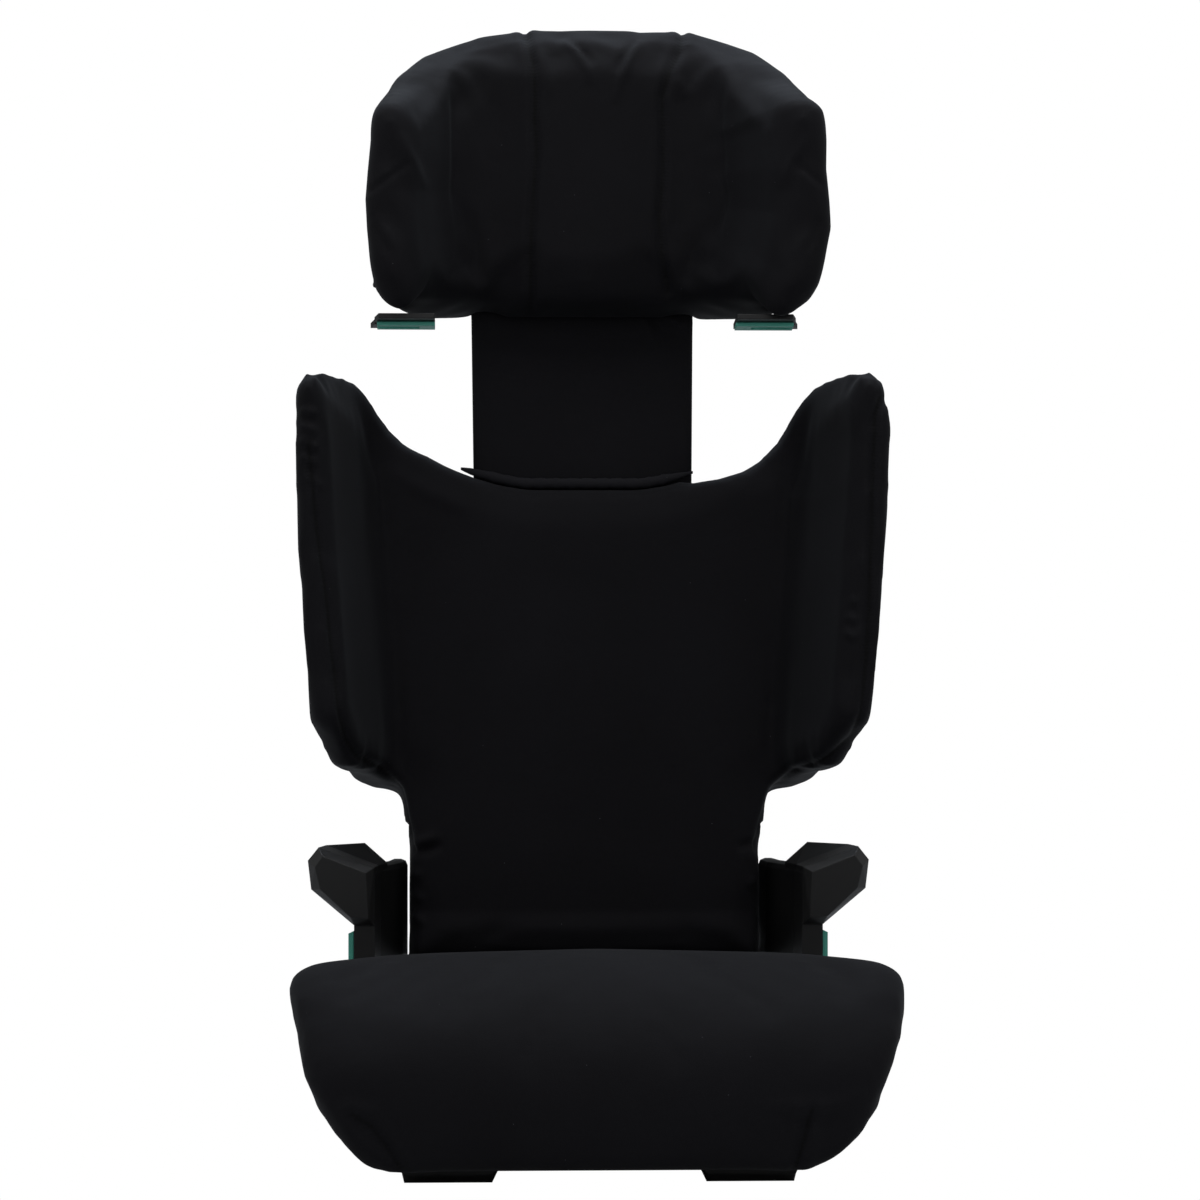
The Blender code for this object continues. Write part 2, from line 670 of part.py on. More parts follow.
BACK_BEND = (BACK_FRONT_Y, BACK_FLAT, BACK_BEND_R, BACK_TURN, WING_SPREAD)
BACK_ARC_END = BACK_FLAT + BACK_BEND_R * BACK_TURN
BACK_TOP_LINE = ((NECK_TOP_HALF / 2, BACK_TOP), (SHOULDER_HALF_LOW, SHOULDER_TOP),
                 (BACK_ARC_END, EAR_INNER_TOP), (BACK_END - WING_LENGTH / 3, WING_TOP))
BACK_DEPTH = ((BACK_FLAT, BACK_T), (BACK_ARC_END, WING_ROOT_T), (BACK_END, WING_EDGE_T))
BACK_LOW_LINE = ((BACK_FLAT, WAIST_TOP), (BACK_ARC_END, WING_LOW), (BACK_END - WING_LENGTH / 2, WING_LOW),
                 (BACK_END, WING_FRONT_LOW))
BACK_TABLES = (BACK_TOP_LINE, BACK_DEPTH, BACK_LOW_LINE, BACK_END)
HEM_STATIONS = [NECK_TOP_HALF * share for share in (0.0, 0.5, 0.75, 0.97)]
FIXED, STEP, NOSE = range(3)
BACK_STATIONS = [(s, FIXED, FLAP_LOW) for s in HEM_STATIONS]
BACK_STATIONS += [(FLAP_HALF, STEP, FLAP_LOW), (FLAP_HALF + WAIST_STEP, STEP, WAIST_LOW),
                  (WAIST_HALF, STEP, WAIST_LOW), (WAIST_HALF + WAIST_STEP, STEP, WAIST_TOP)]
BACK_STATIONS += [(BACK_FLAT + BACK_BEND_R * BACK_TURN * k / 4, FIXED, None) for k in (0, 1, 2, 3, 4)]
BACK_STATIONS += [(BACK_END - WING_LENGTH * share, FIXED, None) for share in (0.7, 0.45)]
BACK_STATIONS += [(BACK_END - BACK_EDGE_R * share, NOSE, None) for share in (1.0, 0.33, 0.0)]

HEAD_BEND = (HEAD_FRONT_Y, HEAD_FLAT, HEAD_BEND_R, HEAD_TURN, 0.0)
HEAD_ARC_END = HEAD_FLAT + HEAD_BEND_R * HEAD_TURN
HEAD_TOP_LINE = ((HEAD_CORNER, HEAD_TOP), (HEAD_END, HEAD_CORNER_TOP))
HEAD_DEPTH = ((HEAD_FLAT, HEAD_T), (HEAD_ARC_END, HEAD_WING_ROOT_T), (HEAD_END, HEAD_WING_EDGE_T))
HEAD_LOW_LINE = ((HEAD_FLAT, HEAD_LOW), (HEAD_ARC_END - HEAD_EDGE_R, HEAD_WING_LOW),
                 (HEAD_END - HEAD_EDGE_R, HEAD_WING_LOW), (HEAD_END, HEAD_CORNER_LOW))
HEAD_TABLES = (HEAD_TOP_LINE, HEAD_DEPTH, HEAD_LOW_LINE, HEAD_END)
HEAD_STATIONS = [(HEAD_FLAT * share, FIXED, None) for share in (0.0, 0.5, 1.0)]
HEAD_STATIONS += [(HEAD_FLAT + HEAD_BEND_R * HEAD_TURN * k / 3, FIXED, None) for k in (1, 2, 3)]
HEAD_STATIONS += [(HEAD_END - HEAD_WING_LENGTH * share, FIXED, None) for share in (0.7,)]
HEAD_STATIONS += [(HEAD_END - HEAD_EDGE_R * share, NOSE, None) for share in (1.0, 0.66, 0.33, 0.1, 0.0)]

FOAM_LAYER = (SEAT_IN_COVER, -SEAT_IN_COVER - SHELL_T - GAP)
SHELL_LAYER = (-SEAT_IN_COVER - SHELL_T, -SEAT_IN_COVER)
WINDOW_LAYER = (-2 * COVER_T, COVER_T)


def channel_box(low, high, name, parent):
    """Space behind the front panel in which the neck runs."""
    space = box((-CHANNEL_HALF, CHANNEL_FRONT_Y, low), (CHANNEL_HALF, SHELL_FRONT_Y, high))
    return cutter(name, space, parent)


def backrest(axis):
    wall = (BACK_STATIONS, BACK_BEND, BACK_TABLES, BACK_EDGE_R, BACK_CROWN)
    channel = channel_box(CHANNEL_LOW, WING_TOP, "neck_channel", axis)

    filling = padded_wall(*wall, SEAT_IN_COVER, FOAM_LAYER, FOAM_SHY)
    foam = part("backrest_foam", filling, axis, FOAM_GREY, 0.9)
    boolean(foam, channel)

    cover = part("backrest_cover", padded_wall(*wall), axis, BLACK_FABRIC, 0.85)
    hollow_out(cover, channel)
    hollow_out(cover, cutter("backrest_cover_inside", padded_wall(*wall, COVER_T), axis))
    window = padded_wall(*wall, 0.0, WINDOW_LAYER, BACK_EDGE_R + COVER_WRAP)
    hollow_out(cover, cutter("backrest_cover_window", window, axis))

    panel = padded_wall(*wall, SEAT_IN_COVER, SHELL_LAYER, BACK_EDGE_R)
    shell = part("backrest_shell", panel, axis, BLACK_PLASTIC, 0.5)
    tab_top = FLAP_LOW + SEAT_IN_COVER + BACK_EDGE_R + COVER_WRAP
    for side, label in ((-1, "left"), (1, "right")):
        middle = side * (HOOK_IN + HOOK_OUT) / 2
        width = HOOK_OUT - HOOK_IN
        eye = rod("x", (middle, 0.0, 0.0), HOOK_R, width)
        boolean(shell, cutter(f"hook_eye_{label}", eye, axis), "UNION")
        stem = box((middle - width / 2, HOOK_R / 2, 0.0), (middle + width / 2, SHELL_REAR_Y, FLAP_LOW))
        boolean(shell, cutter(f"hook_stem_{label}", stem, axis), "UNION")
        tab = box((middle - width / 2, SHELL_FRONT_Y + GAP, FLAP_LOW / 2),
                  (middle + width / 2, SHELL_REAR_Y, tab_top))
        boolean(shell, cutter(f"hook_tab_{label}", tab, axis), "UNION")
        slot = box((middle - width / 2 - GAP, HOOK_R / 2 - GAP, 0.0),
                   (middle + width / 2 + GAP, BACK_REAR_Y + COVER_T, tab_top + GAP))
        hollow_out(cover, cutter(f"hook_slot_{label}", slot, axis))
    boolean(shell, cutter("hook_bore", rod("x", (0.0, 0.0, 0.0), ROD_R + GAP, 2 * ROD_HALF), axis))
    for side in (-1, 1):
        for row in range(WINDOW_ROWS):
            low = RAIL_LOW + row * WINDOW_PITCH
            inner = RUNNER_X + RAIL_HALF + COVER_WRAP / 2
            ends = sorted((side * inner, side * (inner + WINDOW_WIDTH)))
            hole = box((ends[0], SHELL_FRONT_Y - SHELL_T, low), (ends[1], BACK_REAR_Y, low + WINDOW_HEIGHT))
            boolean(shell, cutter(f"shell_window_{row}_{side}", hole, axis))

    points = []
    for s in [-s for s in reversed(HEM_STATIONS[1:])] + HEM_STATIONS:
        points.append((s, CHANNEL_FRONT_Y - HEM_R - GAP, between(BACK_TOP_LINE, abs(s)) + HEM_R + GAP))
    tube("cover_hem", points, HEM_R, axis, BLACK_FABRIC, 0.8)


def tube(name, points, radius, parent, colour, roughness, metallic=0.0):
    """Round bar along a line of points, made a mesh with welded ends."""
    curve = bpy.data.curves.new(name, "CURVE")
    curve.dimensions = "3D"
    curve.bevel_depth = radius
    curve.bevel_resolution = 1
    curve.use_fill_caps = True
    line = curve.splines.new("POLY")
    line.points.add(len(points) - 1)
    for point, place in zip(line.points, points):
        point.co = (*place, 1.0)
    guide = bpy.data.objects.new(name + "_path", curve)
    CUTTERS.objects.link(guide)
    mesh = bpy.data.meshes.new_from_object(guide.evaluated_get(bpy.context.evaluated_depsgraph_get()))
    bm = bmesh.new()
    bm.from_mesh(mesh)
    bmesh.ops.remove_doubles(bm, verts=bm.verts, dist=radius / 100)
    bpy.data.objects.remove(guide, do_unlink=True)
    bpy.data.meshes.remove(mesh)
    return part(name, bm, parent, colour, roughness, metallic)


def slide_rail(name, side, axis):
    """Grooved rail on the backrest shell that guides one runner of the carrier."""
    middle = side * RUNNER_X
    rail = box((middle - RAIL_HALF, CARRIER_REAR_Y + NECK_LIP_T + 2 * RUN_GAP, RAIL_LOW),
               (middle + RAIL_HALF, SHELL_FRONT_Y - GAP, RAIL_TOP))
    piece = part(name, rail, axis, BLACK_PLASTIC, 0.4)
    groove = box((middle - RUNNER_T / 2 - RUN_GAP, CARRIER_REAR_Y, RAIL_LOW - RAIL_HALF),
                 (middle + RUNNER_T / 2 + RUN_GAP, RUNNER_REAR_Y + RUN_GAP, RAIL_TOP + RAIL_HALF))
    boolean(piece, cutter(name + "_groove", groove, axis))


def height_rack(axis):
    """Toothed bar on the shell: flat ledges carry the pawl, sloped sides let it ride up."""
    low = TOOTH_Z - (NOTCHES - 1) * NOTCH_PITCH - TOOTH_H / 2 - RACK_END
    high = TOOTH_Z + TOOTH_H / 2 + RACK_END
    floor = RACK_FRONT_Y + NOTCH_DEPTH
    outline = [(SHELL_FRONT_Y - GAP, low), (RACK_FRONT_Y, low)]
    for k in range(NOTCHES):
        middle = TOOTH_Z - (NOTCHES - 1 - k) * NOTCH_PITCH
        ledge = middle - TOOTH_H / 2 - GAP
        roof = middle + TOOTH_H / 2 + GAP
        outline += [(RACK_FRONT_Y, ledge), (floor, ledge), (floor, roof), (RACK_FRONT_Y, roof + NOTCH_RISE)]
    outline += [(RACK_FRONT_Y, high), (SHELL_FRONT_Y - GAP, high)]
    rings = [[(x, a, b) for a, b in outline] for x in (-RACK_HALF, RACK_HALF)]
    part("height_rack", loft(rings), axis, BLACK_PLASTIC, 0.4)
    for end, z in (("low", low + RACK_END), ("top", high - RACK_END)):
        centre = (0.0, SHELL_REAR_Y + GAP + SCREW_HEAD_T / 2, z)
        head = rod("y", centre, SCREW_HEAD_R, SCREW_HEAD_T, 12)
        part(f"rack_screw_{end}", head, axis, STEEL, 0.35, 1.0)


def headrest(axis):
    wall = (HEAD_STATIONS, HEAD_BEND, HEAD_TABLES, HEAD_EDGE_R, HEAD_CROWN)
    pocket = channel_box(HEAD_LOW - COVER_WRAP, HANDLE_LOW + HANDLE_H + STOP_ROOM, "carrier_pocket", axis)

    filling = padded_wall(*wall, SEAT_IN_COVER, FOAM_LAYER, FOAM_SHY)
    foam = part("headrest_foam", filling, axis, FOAM_GREY, 0.9)
    boolean(foam, pocket)
    cover = part("headrest_cover", padded_wall(*wall), axis, BLACK_FABRIC, 0.85)
    hollow_out(cover, pocket)
    hollow_out(cover, cutter("headrest_cover_inside", padded_wall(*wall, COVER_T), axis))
    window = padded_wall(*wall, 0.0, WINDOW_LAYER, HEAD_EDGE_R + COVER_WRAP)
    hollow_out(cover, cutter("headrest_cover_window", window, axis))
    mouth = box((-CHANNEL_HALF, CHANNEL_FRONT_Y, HEAD_LOW - COVER_WRAP),
                (CHANNEL_HALF, HEAD_REAR_Y + COVER_T, HEAD_LOW + HEAD_EDGE_R + COVER_WRAP + COVER_T))
    hollow_out(cover, cutter("headrest_cover_mouth", mouth, axis))
    panel = padded_wall(*wall, SEAT_IN_COVER, SHELL_LAYER, HEAD_EDGE_R)
    shell = part("headrest_shell", panel, axis, BLACK_PLASTIC, 0.5)
    grip = box((-HANDLE_WINDOW_HALF, SHELL_FRONT_Y - SHELL_T, HANDLE_LOW - HANDLE_WINDOW_H),
               (HANDLE_WINDOW_HALF, BACK_REAR_Y, HANDLE_LOW + HANDLE_H / 2))
    boolean(shell, cutter("handle_window", grip, axis))
    for label, side in (("left", -1), ("right", 1)):
        for end, z in (("low", NECK_TOP + COVER_WRAP), ("top", CARRIER_TOP - COVER_WRAP)):
            centre = (side * RUNNER_X, SHELL_REAR_Y + GAP + SCREW_HEAD_T / 2, z)
            head = rod("y", centre, SCREW_HEAD_R, SCREW_HEAD_T, 12)
            part(f"headrest_screw_{label}_{end}", head, axis, STEEL, 0.35, 1.0)


def neck_carrier(axis):
    plate = box((-CARRIER_HALF, CARRIER_FRONT_Y, CARRIER_LOW), (CARRIER_HALF, CARRIER_REAR_Y, CARRIER_TOP))
    carrier = part("neck_carrier", plate, axis, BLACK_PLASTIC, 0.45)
    for side, label in ((-1, "left"), (1, "right")):
        middle = side * RUNNER_X
        runner = box((middle - RUNNER_T / 2, CARRIER_FRONT_Y + GAP, CARRIER_LOW),
                     (middle + RUNNER_T / 2, RUNNER_REAR_Y, NECK_TOP))
        boolean(carrier, cutter(f"runner_{label}", runner, axis), "UNION")
        post = box((middle - RUNNER_T / 2, CARRIER_FRONT_Y + GAP, NECK_TOP - GAP),
                   (middle + RUNNER_T / 2, SHELL_FRONT_Y - GAP, CARRIER_TOP))
        boolean(carrier, cutter(f"post_{label}", post, axis), "UNION")
        cheek = side * (LUG_OUT + PULL_R)
        ends = sorted((cheek, cheek + side * SHELL_T))
        ear = box((ends[0], CARRIER_FRONT_Y + GAP, PAWL_PIVOT_Z - PAWL_EYE_R),
                  (ends[1], PAWL_PIVOT_Y + PAWL_EYE_R, PAWL_PIVOT_Z + PAWL_EYE_R))
        boolean(carrier, cutter(f"pin_ear_{label}", ear, axis), "UNION")
    opening = box((-LUG_OUT - PULL_R, CARRIER_FRONT_Y - GAP, CARRIER_LOW + PAWL_EYE_R),
                  (LUG_OUT + PULL_R, CARRIER_REAR_Y + GAP, TOOTH_Z + PAWL_ARM))
    boolean(carrier, cutter("pawl_opening", opening, axis))
    bore = rod("x", (0.0, PAWL_PIVOT_Y, PAWL_PIVOT_Z), PIN_R + GAP, 4 * LUG_OUT, 12)
    boolean(carrier, cutter("pin_bore", bore, axis))
    for row in range(CARRIER_HOLES):
        low = TOOTH_Z + 2 * PAWL_ARM + row * CARRIER_HOLE_PITCH
        hole = box((-CARRIER_HOLE_HALF, CARRIER_FRONT_Y - GAP, low),
                   (CARRIER_HOLE_HALF, CARRIER_REAR_Y + GAP, low + CARRIER_HOLE_PITCH - 3 * SHELL_T))
        boolean(carrier, cutter(f"carrier_hole_{row}", hole, axis))
    stop = box((-HANDLE_HALF, CARRIER_REAR_Y - CARRIER_T / 2, STOP_LOW),
               (HANDLE_HALF, SHELL_FRONT_Y - GAP, STOP_LOW + STOP_BAR_H))
    boolean(carrier, cutter("spring_stop", stop, axis), "UNION")
    web = box((-CARRIER_HALF / 2, CARRIER_FRONT_Y + GAP, CARRIER_TOP - STOP_BAR_H),
              (CARRIER_HALF / 2, CARRIER_REAR_Y - GAP, STOP_LOW + STOP_BAR_H - GAP))
    boolean(carrier, cutter("stop_web", web, axis), "UNION")
    part("pawl_pin", rod("x", (0.0, PAWL_PIVOT_Y, PAWL_PIVOT_Z), PIN_R, 2 * PIN_HALF + 2 * SHELL_T, 12),
         axis, STEEL, 0.3, 1.0)


def neck_cover(axis):
    """Sleeve over the carrier, its edges turned in behind the plate."""
    rings = []
    for z, half in ((NECK_LOW, NECK_LOW_HALF), (NECK_TOP, NECK_TOP_HALF)):
        rear_y = CARRIER_REAR_Y + NECK_LIP_T
        loop = fillet_loop([(half, NECK_FRONT_Y, NECK_FRONT_T, 3), (half, rear_y, NECK_LIP_T / 2, 1),
                            (-half, rear_y, NECK_LIP_T / 2, 1), (-half, NECK_FRONT_Y, NECK_FRONT_T, 3)])
        rings.append([(p.x, p.y, z) for p in loop])
    sleeve = part("neck_cover", loft(rings), axis, BLACK_FABRIC, 0.85)
    inside = box((-CARRIER_HALF - GAP, CARRIER_FRONT_Y - GAP, NECK_LOW - NECK_LIP),
                 (CARRIER_HALF + GAP, CARRIER_REAR_Y + GAP, NECK_TOP + NECK_LIP))
    boolean(sleeve, cutter("neck_inside", inside, axis))
    gap_half = RUNNER_X + RAIL_HALF + RUN_GAP
    window = box((-gap_half, CARRIER_REAR_Y - GAP, NECK_LOW - NECK_LIP),
                 (gap_half, SHELL_FRONT_Y, NECK_TOP + NECK_LIP))
    boolean(sleeve, cutter("neck_window", window, axis))


def belt_guide(side_name, side, axis):
    """Guide plate under a headrest wing, and the coloured hook that lines its belt slot below."""
    slot_front = (GUIDE_FRONT_Y + GUIDE_REAR_Y - GUIDE_SLOT) / 2
    slot_rear = slot_front + GUIDE_SLOT
    mouth = GUIDE_OUT - GUIDE_SLANT / 2
    outline = [(GUIDE_IN, GUIDE_FRONT_Y), (GUIDE_OUT - GUIDE_SLANT, GUIDE_FRONT_Y),
               (mouth, slot_front), (GUIDE_IN + GUIDE_SLOT_IN, slot_front),
               (GUIDE_IN + GUIDE_SLOT_IN, slot_rear), (mouth, slot_rear),
               (GUIDE_OUT, GUIDE_REAR_Y), (GUIDE_IN, GUIDE_REAR_Y)]
    tip = mouth - GUIDE_HOOK_INSET
    lining = [(GUIDE_IN, slot_front - GUIDE_HOOK_ARM), (tip, slot_front - GUIDE_HOOK_ARM),
              (tip, slot_front), (GUIDE_IN + GUIDE_SLOT_IN, slot_front),
              (GUIDE_IN + GUIDE_SLOT_IN, slot_rear), (tip, slot_rear),
              (tip, slot_rear + GUIDE_HOOK_ARM), (GUIDE_IN, slot_rear + GUIDE_HOOK_ARM)]
    top = HEAD_WING_LOW - GAP
    plate = extrude_outline([(side * a, b) for a, b in outline], top - GUIDE_PLATE_T, top)
    part(f"belt_guide_plate_{side_name}", plate, axis, BLACK_PLASTIC, 0.4)
    top -= GUIDE_PLATE_T + GAP
    hook = extrude_outline([(side * a, b) for a, b in lining], top - GUIDE_HOOK_T, top)
    part(f"belt_guide_{side_name}", hook, axis, TEAL, 0.35)


def release(axis):
    """Finger pull in the headrest's rear, its rod down to the pawl, and its return spring."""
    slide = axis_empty("handle_slide", axis, (0.0, PULL_Y, HANDLE_LOW))
    rear = SHELL_FRONT_Y - GAP - PULL_Y
    bar = box((-HANDLE_HALF, CARRIER_REAR_Y + GAP - PULL_Y, 0.0), (HANDLE_HALF, rear, HANDLE_H))
    handle = part("release_handle", bar, slide, BLACK_PLASTIC, 0.35)
    scoop = box((-HANDLE_WINDOW_HALF, CARRIER_REAR_Y + SHELL_T - PULL_Y, -HANDLE_H),
                (HANDLE_WINDOW_HALF, rear - SHELL_T, HANDLE_H / 2))
    boolean(handle, cutter("finger_scoop", scoop, slide))

    foot = PAWL_PIVOT_Z - LUG_R - GAP - HANDLE_LOW
    bm = rod("z", (PULL_X, 0.0, (foot - PULL_R - GAP) / 2), PULL_R, -GAP - foot + PULL_R, 12)
    pull = part("pull_rod", bm, slide, STEEL, 0.35, 1.0)
    toe = box((PULL_X - PULL_R / 2, LUG_REACH - PULL_R - PULL_Y, foot - PULL_R), (LUG_OUT, 0.0, foot))
    boolean(pull, cutter("rod_toe", toe, slide), "UNION")

    points = []
    for k in range(SPRING_COILS * 8 + 1):
        angle = 2 * math.pi * k / 8
        height = HANDLE_LOW + HANDLE_H + GAP + SPRING_WIRE_R
        height += (SPRING_LENGTH - 2 * SPRING_WIRE_R - 2 * GAP) * k / (SPRING_COILS * 8)
        points.append((-SPRING_X + SPRING_R * math.cos(angle), SPRING_Y + SPRING_R * math.sin(angle), height))
    tube("handle_spring", points, SPRING_WIRE_R, axis, STEEL, 0.3, 1.0)


def latch_pawl(axis):
    pivot = axis_empty("pawl_pivot", axis, (0.0, PAWL_PIVOT_Y, PAWL_PIVOT_Z))
    pawl = part("latch_pawl", rod("x", (0.0, 0.0, 0.0), PAWL_EYE_R, 2 * PAWL_HALF), pivot, BLACK_PLASTIC, 0.4)
    arm = box((-PAWL_HALF, -PAWL_ARM_T / 2, 0.0), (PAWL_HALF, PAWL_ARM_T / 2, PAWL_ARM + TOOTH_H / 2))
    boolean(pawl, cutter("pawl_arm", arm, pivot), "UNION")
    tip = RACK_FRONT_Y + TOOTH_BITE - PAWL_PIVOT_Y
    tooth = box((-PAWL_HALF, 0.0, PAWL_ARM - TOOTH_H / 2), (PAWL_HALF, tip, PAWL_ARM + TOOTH_H / 2 - GAP))
    boolean(pawl, cutter("pawl_tooth", tooth, pivot), "UNION")
    collar = rod("x", ((PAWL_HALF + LUG_OUT) / 2, 0.0, 0.0), PAWL_EYE_R - GAP, LUG_OUT - PAWL_HALF + LUG_R)
    boolean(pawl, cutter("pawl_collar", collar, pivot), "UNION")
    lug = box((RACK_HALF + 2 * RUN_GAP, 0.0, -LUG_R), (LUG_OUT, LUG_REACH, LUG_R))
    boolean(pawl, cutter("pawl_lug", lug, pivot), "UNION")
    boolean(pawl, cutter("pawl_bore", rod("x", (0.0, 0.0, 0.0), PIN_R + GAP, 4 * LUG_OUT, 12), pivot))


clear_scene()
PARTS = new_collection("booster_seat")
CUTTERS = new_collection("cutters")
base_shell()
skid("skid_left", -1)
skid("skid_right", 1)
seat_pad()
armrest("left", -1)
armrest("right", 1)
armrest_screws()
hinge_rod()
HINGE = axis_empty("backrest_hinge", None, (0.0, HINGE_Y, HINGE_Z), -LEAN)
backrest(HINGE)
slide_rail("slide_rail_left", -1, HINGE)
slide_rail("slide_rail_right", 1, HINGE)
height_rack(HINGE)
SLIDE = axis_empty("headrest_slide", HINGE, (0.0, 0.0, 0.0))
headrest(SLIDE)
neck_carrier(SLIDE)
neck_cover(SLIDE)
belt_guide("left", -1, SLIDE)
belt_guide("right", 1, SLIDE)
release(SLIDE)
latch_pawl(SLIDE)
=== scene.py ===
"""Looks of the high-back booster seat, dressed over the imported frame."""
import math

import bmesh
import bpy
import numpy as np
from mathutils import Matrix, Vector
from mathutils.bvhtree import BVHTree


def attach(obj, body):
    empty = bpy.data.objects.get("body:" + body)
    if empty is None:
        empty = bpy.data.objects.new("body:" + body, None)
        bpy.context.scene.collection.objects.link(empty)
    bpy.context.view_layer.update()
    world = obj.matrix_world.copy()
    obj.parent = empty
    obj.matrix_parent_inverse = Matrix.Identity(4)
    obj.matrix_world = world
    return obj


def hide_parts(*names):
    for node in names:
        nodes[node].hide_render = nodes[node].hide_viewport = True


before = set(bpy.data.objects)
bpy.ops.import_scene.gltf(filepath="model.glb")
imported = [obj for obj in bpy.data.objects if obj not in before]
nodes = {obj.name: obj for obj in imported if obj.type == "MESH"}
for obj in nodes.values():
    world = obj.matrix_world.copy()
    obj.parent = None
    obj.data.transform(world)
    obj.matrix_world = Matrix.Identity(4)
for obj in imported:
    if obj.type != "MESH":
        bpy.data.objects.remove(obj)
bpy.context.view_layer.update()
scene = bpy.context.scene
scene.view_settings.view_transform = "Standard"

# Camera: a long lens, level, at the height of the backrest's middle, a touch to the left of square
# on.
eye = Vector((-0.105, -2.998, 0.407))
aim = Vector((0.0075, 0.0, 0.407))
camera_data = bpy.data.cameras.new("camera")
camera_data.sensor_width = 36.0
camera_data.lens = 120.5
camera = bpy.data.objects.new("camera", camera_data)
camera.location = eye
camera.rotation_euler = (aim - eye).to_track_quat("-Z", "Y").to_euler()
scene.collection.objects.link(camera)
scene.camera = camera

# Floor and light: a plain white sweep and large soft lamps overhead, in front, behind and to both sides.
# The floor and the surround read as white to the eye, and give a weaker fill to the object.
bpy.ops.mesh.primitive_plane_add(size=9.0)
floor = bpy.context.object
floor.name = "floor"
paper = bpy.data.materials.new("floor_paper")
paper.use_nodes = True
tree = paper.node_tree
tree.nodes.remove(tree.nodes["Principled BSDF"])
matte = tree.nodes.new("ShaderNodeBsdfDiffuse")
matte.inputs["Color"].default_value = (0.62, 0.62, 0.62, 1.0)
glow = tree.nodes.new("ShaderNodeEmission")
glow.inputs["Color"].default_value = (1.0, 1.0, 1.0, 1.0)
path = tree.nodes.new("ShaderNodeLightPath")
mix = tree.nodes.new("ShaderNodeMixShader")
tree.links.new(path.outputs["Is Camera Ray"], mix.inputs[0])
tree.links.new(matte.outputs[0], mix.inputs[1])
tree.links.new(glow.outputs[0], mix.inputs[2])
tree.links.new(mix.outputs[0], tree.nodes["Material Output"].inputs["Surface"])
floor.data.materials.append(paper)
world = bpy.data.worlds.new("surround")
world.use_nodes = True
scene.world = world
tree = world.node_tree
fill = tree.nodes["Background"]
fill.inputs["Color"].default_value = (0.94, 0.97, 1.0, 1.0)
fill.inputs["Strength"].default_value = 0.22
white = tree.nodes.new("ShaderNodeBackground")
white.inputs["Color"].default_value = (1.0, 1.0, 1.0, 1.0)
path = tree.nodes.new("ShaderNodeLightPath")
mix = tree.nodes.new("ShaderNodeMixShader")
tree.links.new(path.outputs["Is Camera Ray"], mix.inputs[0])
tree.links.new(fill.outputs[0], mix.inputs[1])
tree.links.new(white.outputs[0], mix.inputs[2])
tree.links.new(mix.outputs[0], tree.nodes["World Output"].inputs["Surface"])
for name, place, size, power in (("lamp_over", (0.0, -0.3, 2.5), 2.0, 44.0),
                                 ("lamp_front", (0.0, -2.8, 1.7), 1.8, 27.0),
                                 ("lamp_left", (-2.3, 0.1, 1.2), 1.5, 11.0),
                                 ("lamp_right", (2.3, 0.1, 1.2), 1.5, 11.0),
                                 ("lamp_behind", (0.0, 0.8, 2.4), 1.6, 34.0)):
    lamp = bpy.data.lights.new(name, "AREA")
    lamp.size = size
    lamp.energy = power
    lamp.color = (0.74, 0.85, 1.0) if name == "lamp_behind" else (1.0, 1.0, 1.0)
    holder = bpy.data.objects.new(name, lamp)
    holder.location = place
    holder.rotation_euler = (Vector((0.0, 0.0, 0.4)) - Vector(place)).to_track_quat("-Z", "Y").to_euler()
    scene.collection.objects.link(holder)

# Cover cloth: a fine black stretch knit with a short nap, laminated to thin wadding. The knit's
# columns show as a faint rib, the nap gives a weak bluish sheen, and a few specks of lint cling to it.
knit = bpy.data.node_groups.new("knit", "ShaderNodeTree")
knit.interface.new_socket("Colour", in_out="OUTPUT", socket_type="NodeSocketColor")
knit.interface.new_socket("Roughness", in_out="OUTPUT", socket_type="NodeSocketFloat")
knit.interface.new_socket("Normal", in_out="OUTPUT", socket_type="NodeSocketVector")
n, link = knit.nodes, knit.links
out = n.new("NodeGroupOutput")
place = n.new("ShaderNodeTexCoord")
rib = n.new("ShaderNodeTexWave")
rib.bands_direction = "X"
rib.inputs["Scale"].default_value = 520.0
rib.inputs["Distortion"].default_value = 1.2
rib.inputs["Detail"].default_value = 1.0
row = n.new("ShaderNodeTexWave")
row.bands_direction = "Z"
row.inputs["Scale"].default_value = 430.0
row.inputs["Distortion"].default_value = 1.6
loops = n.new("ShaderNodeMath")
loops.operation = "MULTIPLY"
nap = n.new("ShaderNodeTexNoise")
nap.inputs["Scale"].default_value = 900.0
nap.inputs["Detail"].default_value = 2.0
wear = n.new("ShaderNodeTexNoise")
wear.inputs["Scale"].default_value = 9.0
wear.inputs["Detail"].default_value = 4.0
lint = n.new("ShaderNodeTexVoronoi")
lint.inputs["Scale"].default_value = 55.0
speck = n.new("ShaderNodeMath")
speck.operation = "LESS_THAN"
speck.inputs[1].default_value = 0.018
for texture in (rib, row, nap, wear, lint):
    link.new(place.outputs["Object"], texture.inputs["Vector"])
link.new(rib.outputs["Fac"], loops.inputs[0])
link.new(row.outputs["Fac"], loops.inputs[1])
link.new(lint.outputs["Distance"], speck.inputs[0])
shade = n.new("ShaderNodeValToRGB")
shade.color_ramp.elements[0].position = 0.25
shade.color_ramp.elements[0].color = (0.0014, 0.0013, 0.0020, 1.0)
shade.color_ramp.elements[1].position = 0.8
shade.color_ramp.elements[1].color = (0.0028, 0.0027, 0.0038, 1.0)
link.new(wear.outputs["Fac"], shade.inputs["Fac"])
dots = n.new("ShaderNodeMix")
dots.data_type = "RGBA"
dots.inputs[7].default_value = (0.05, 0.05, 0.055, 1.0)
link.new(speck.outputs[0], dots.inputs[0])
link.new(shade.outputs["Color"], dots.inputs[6])
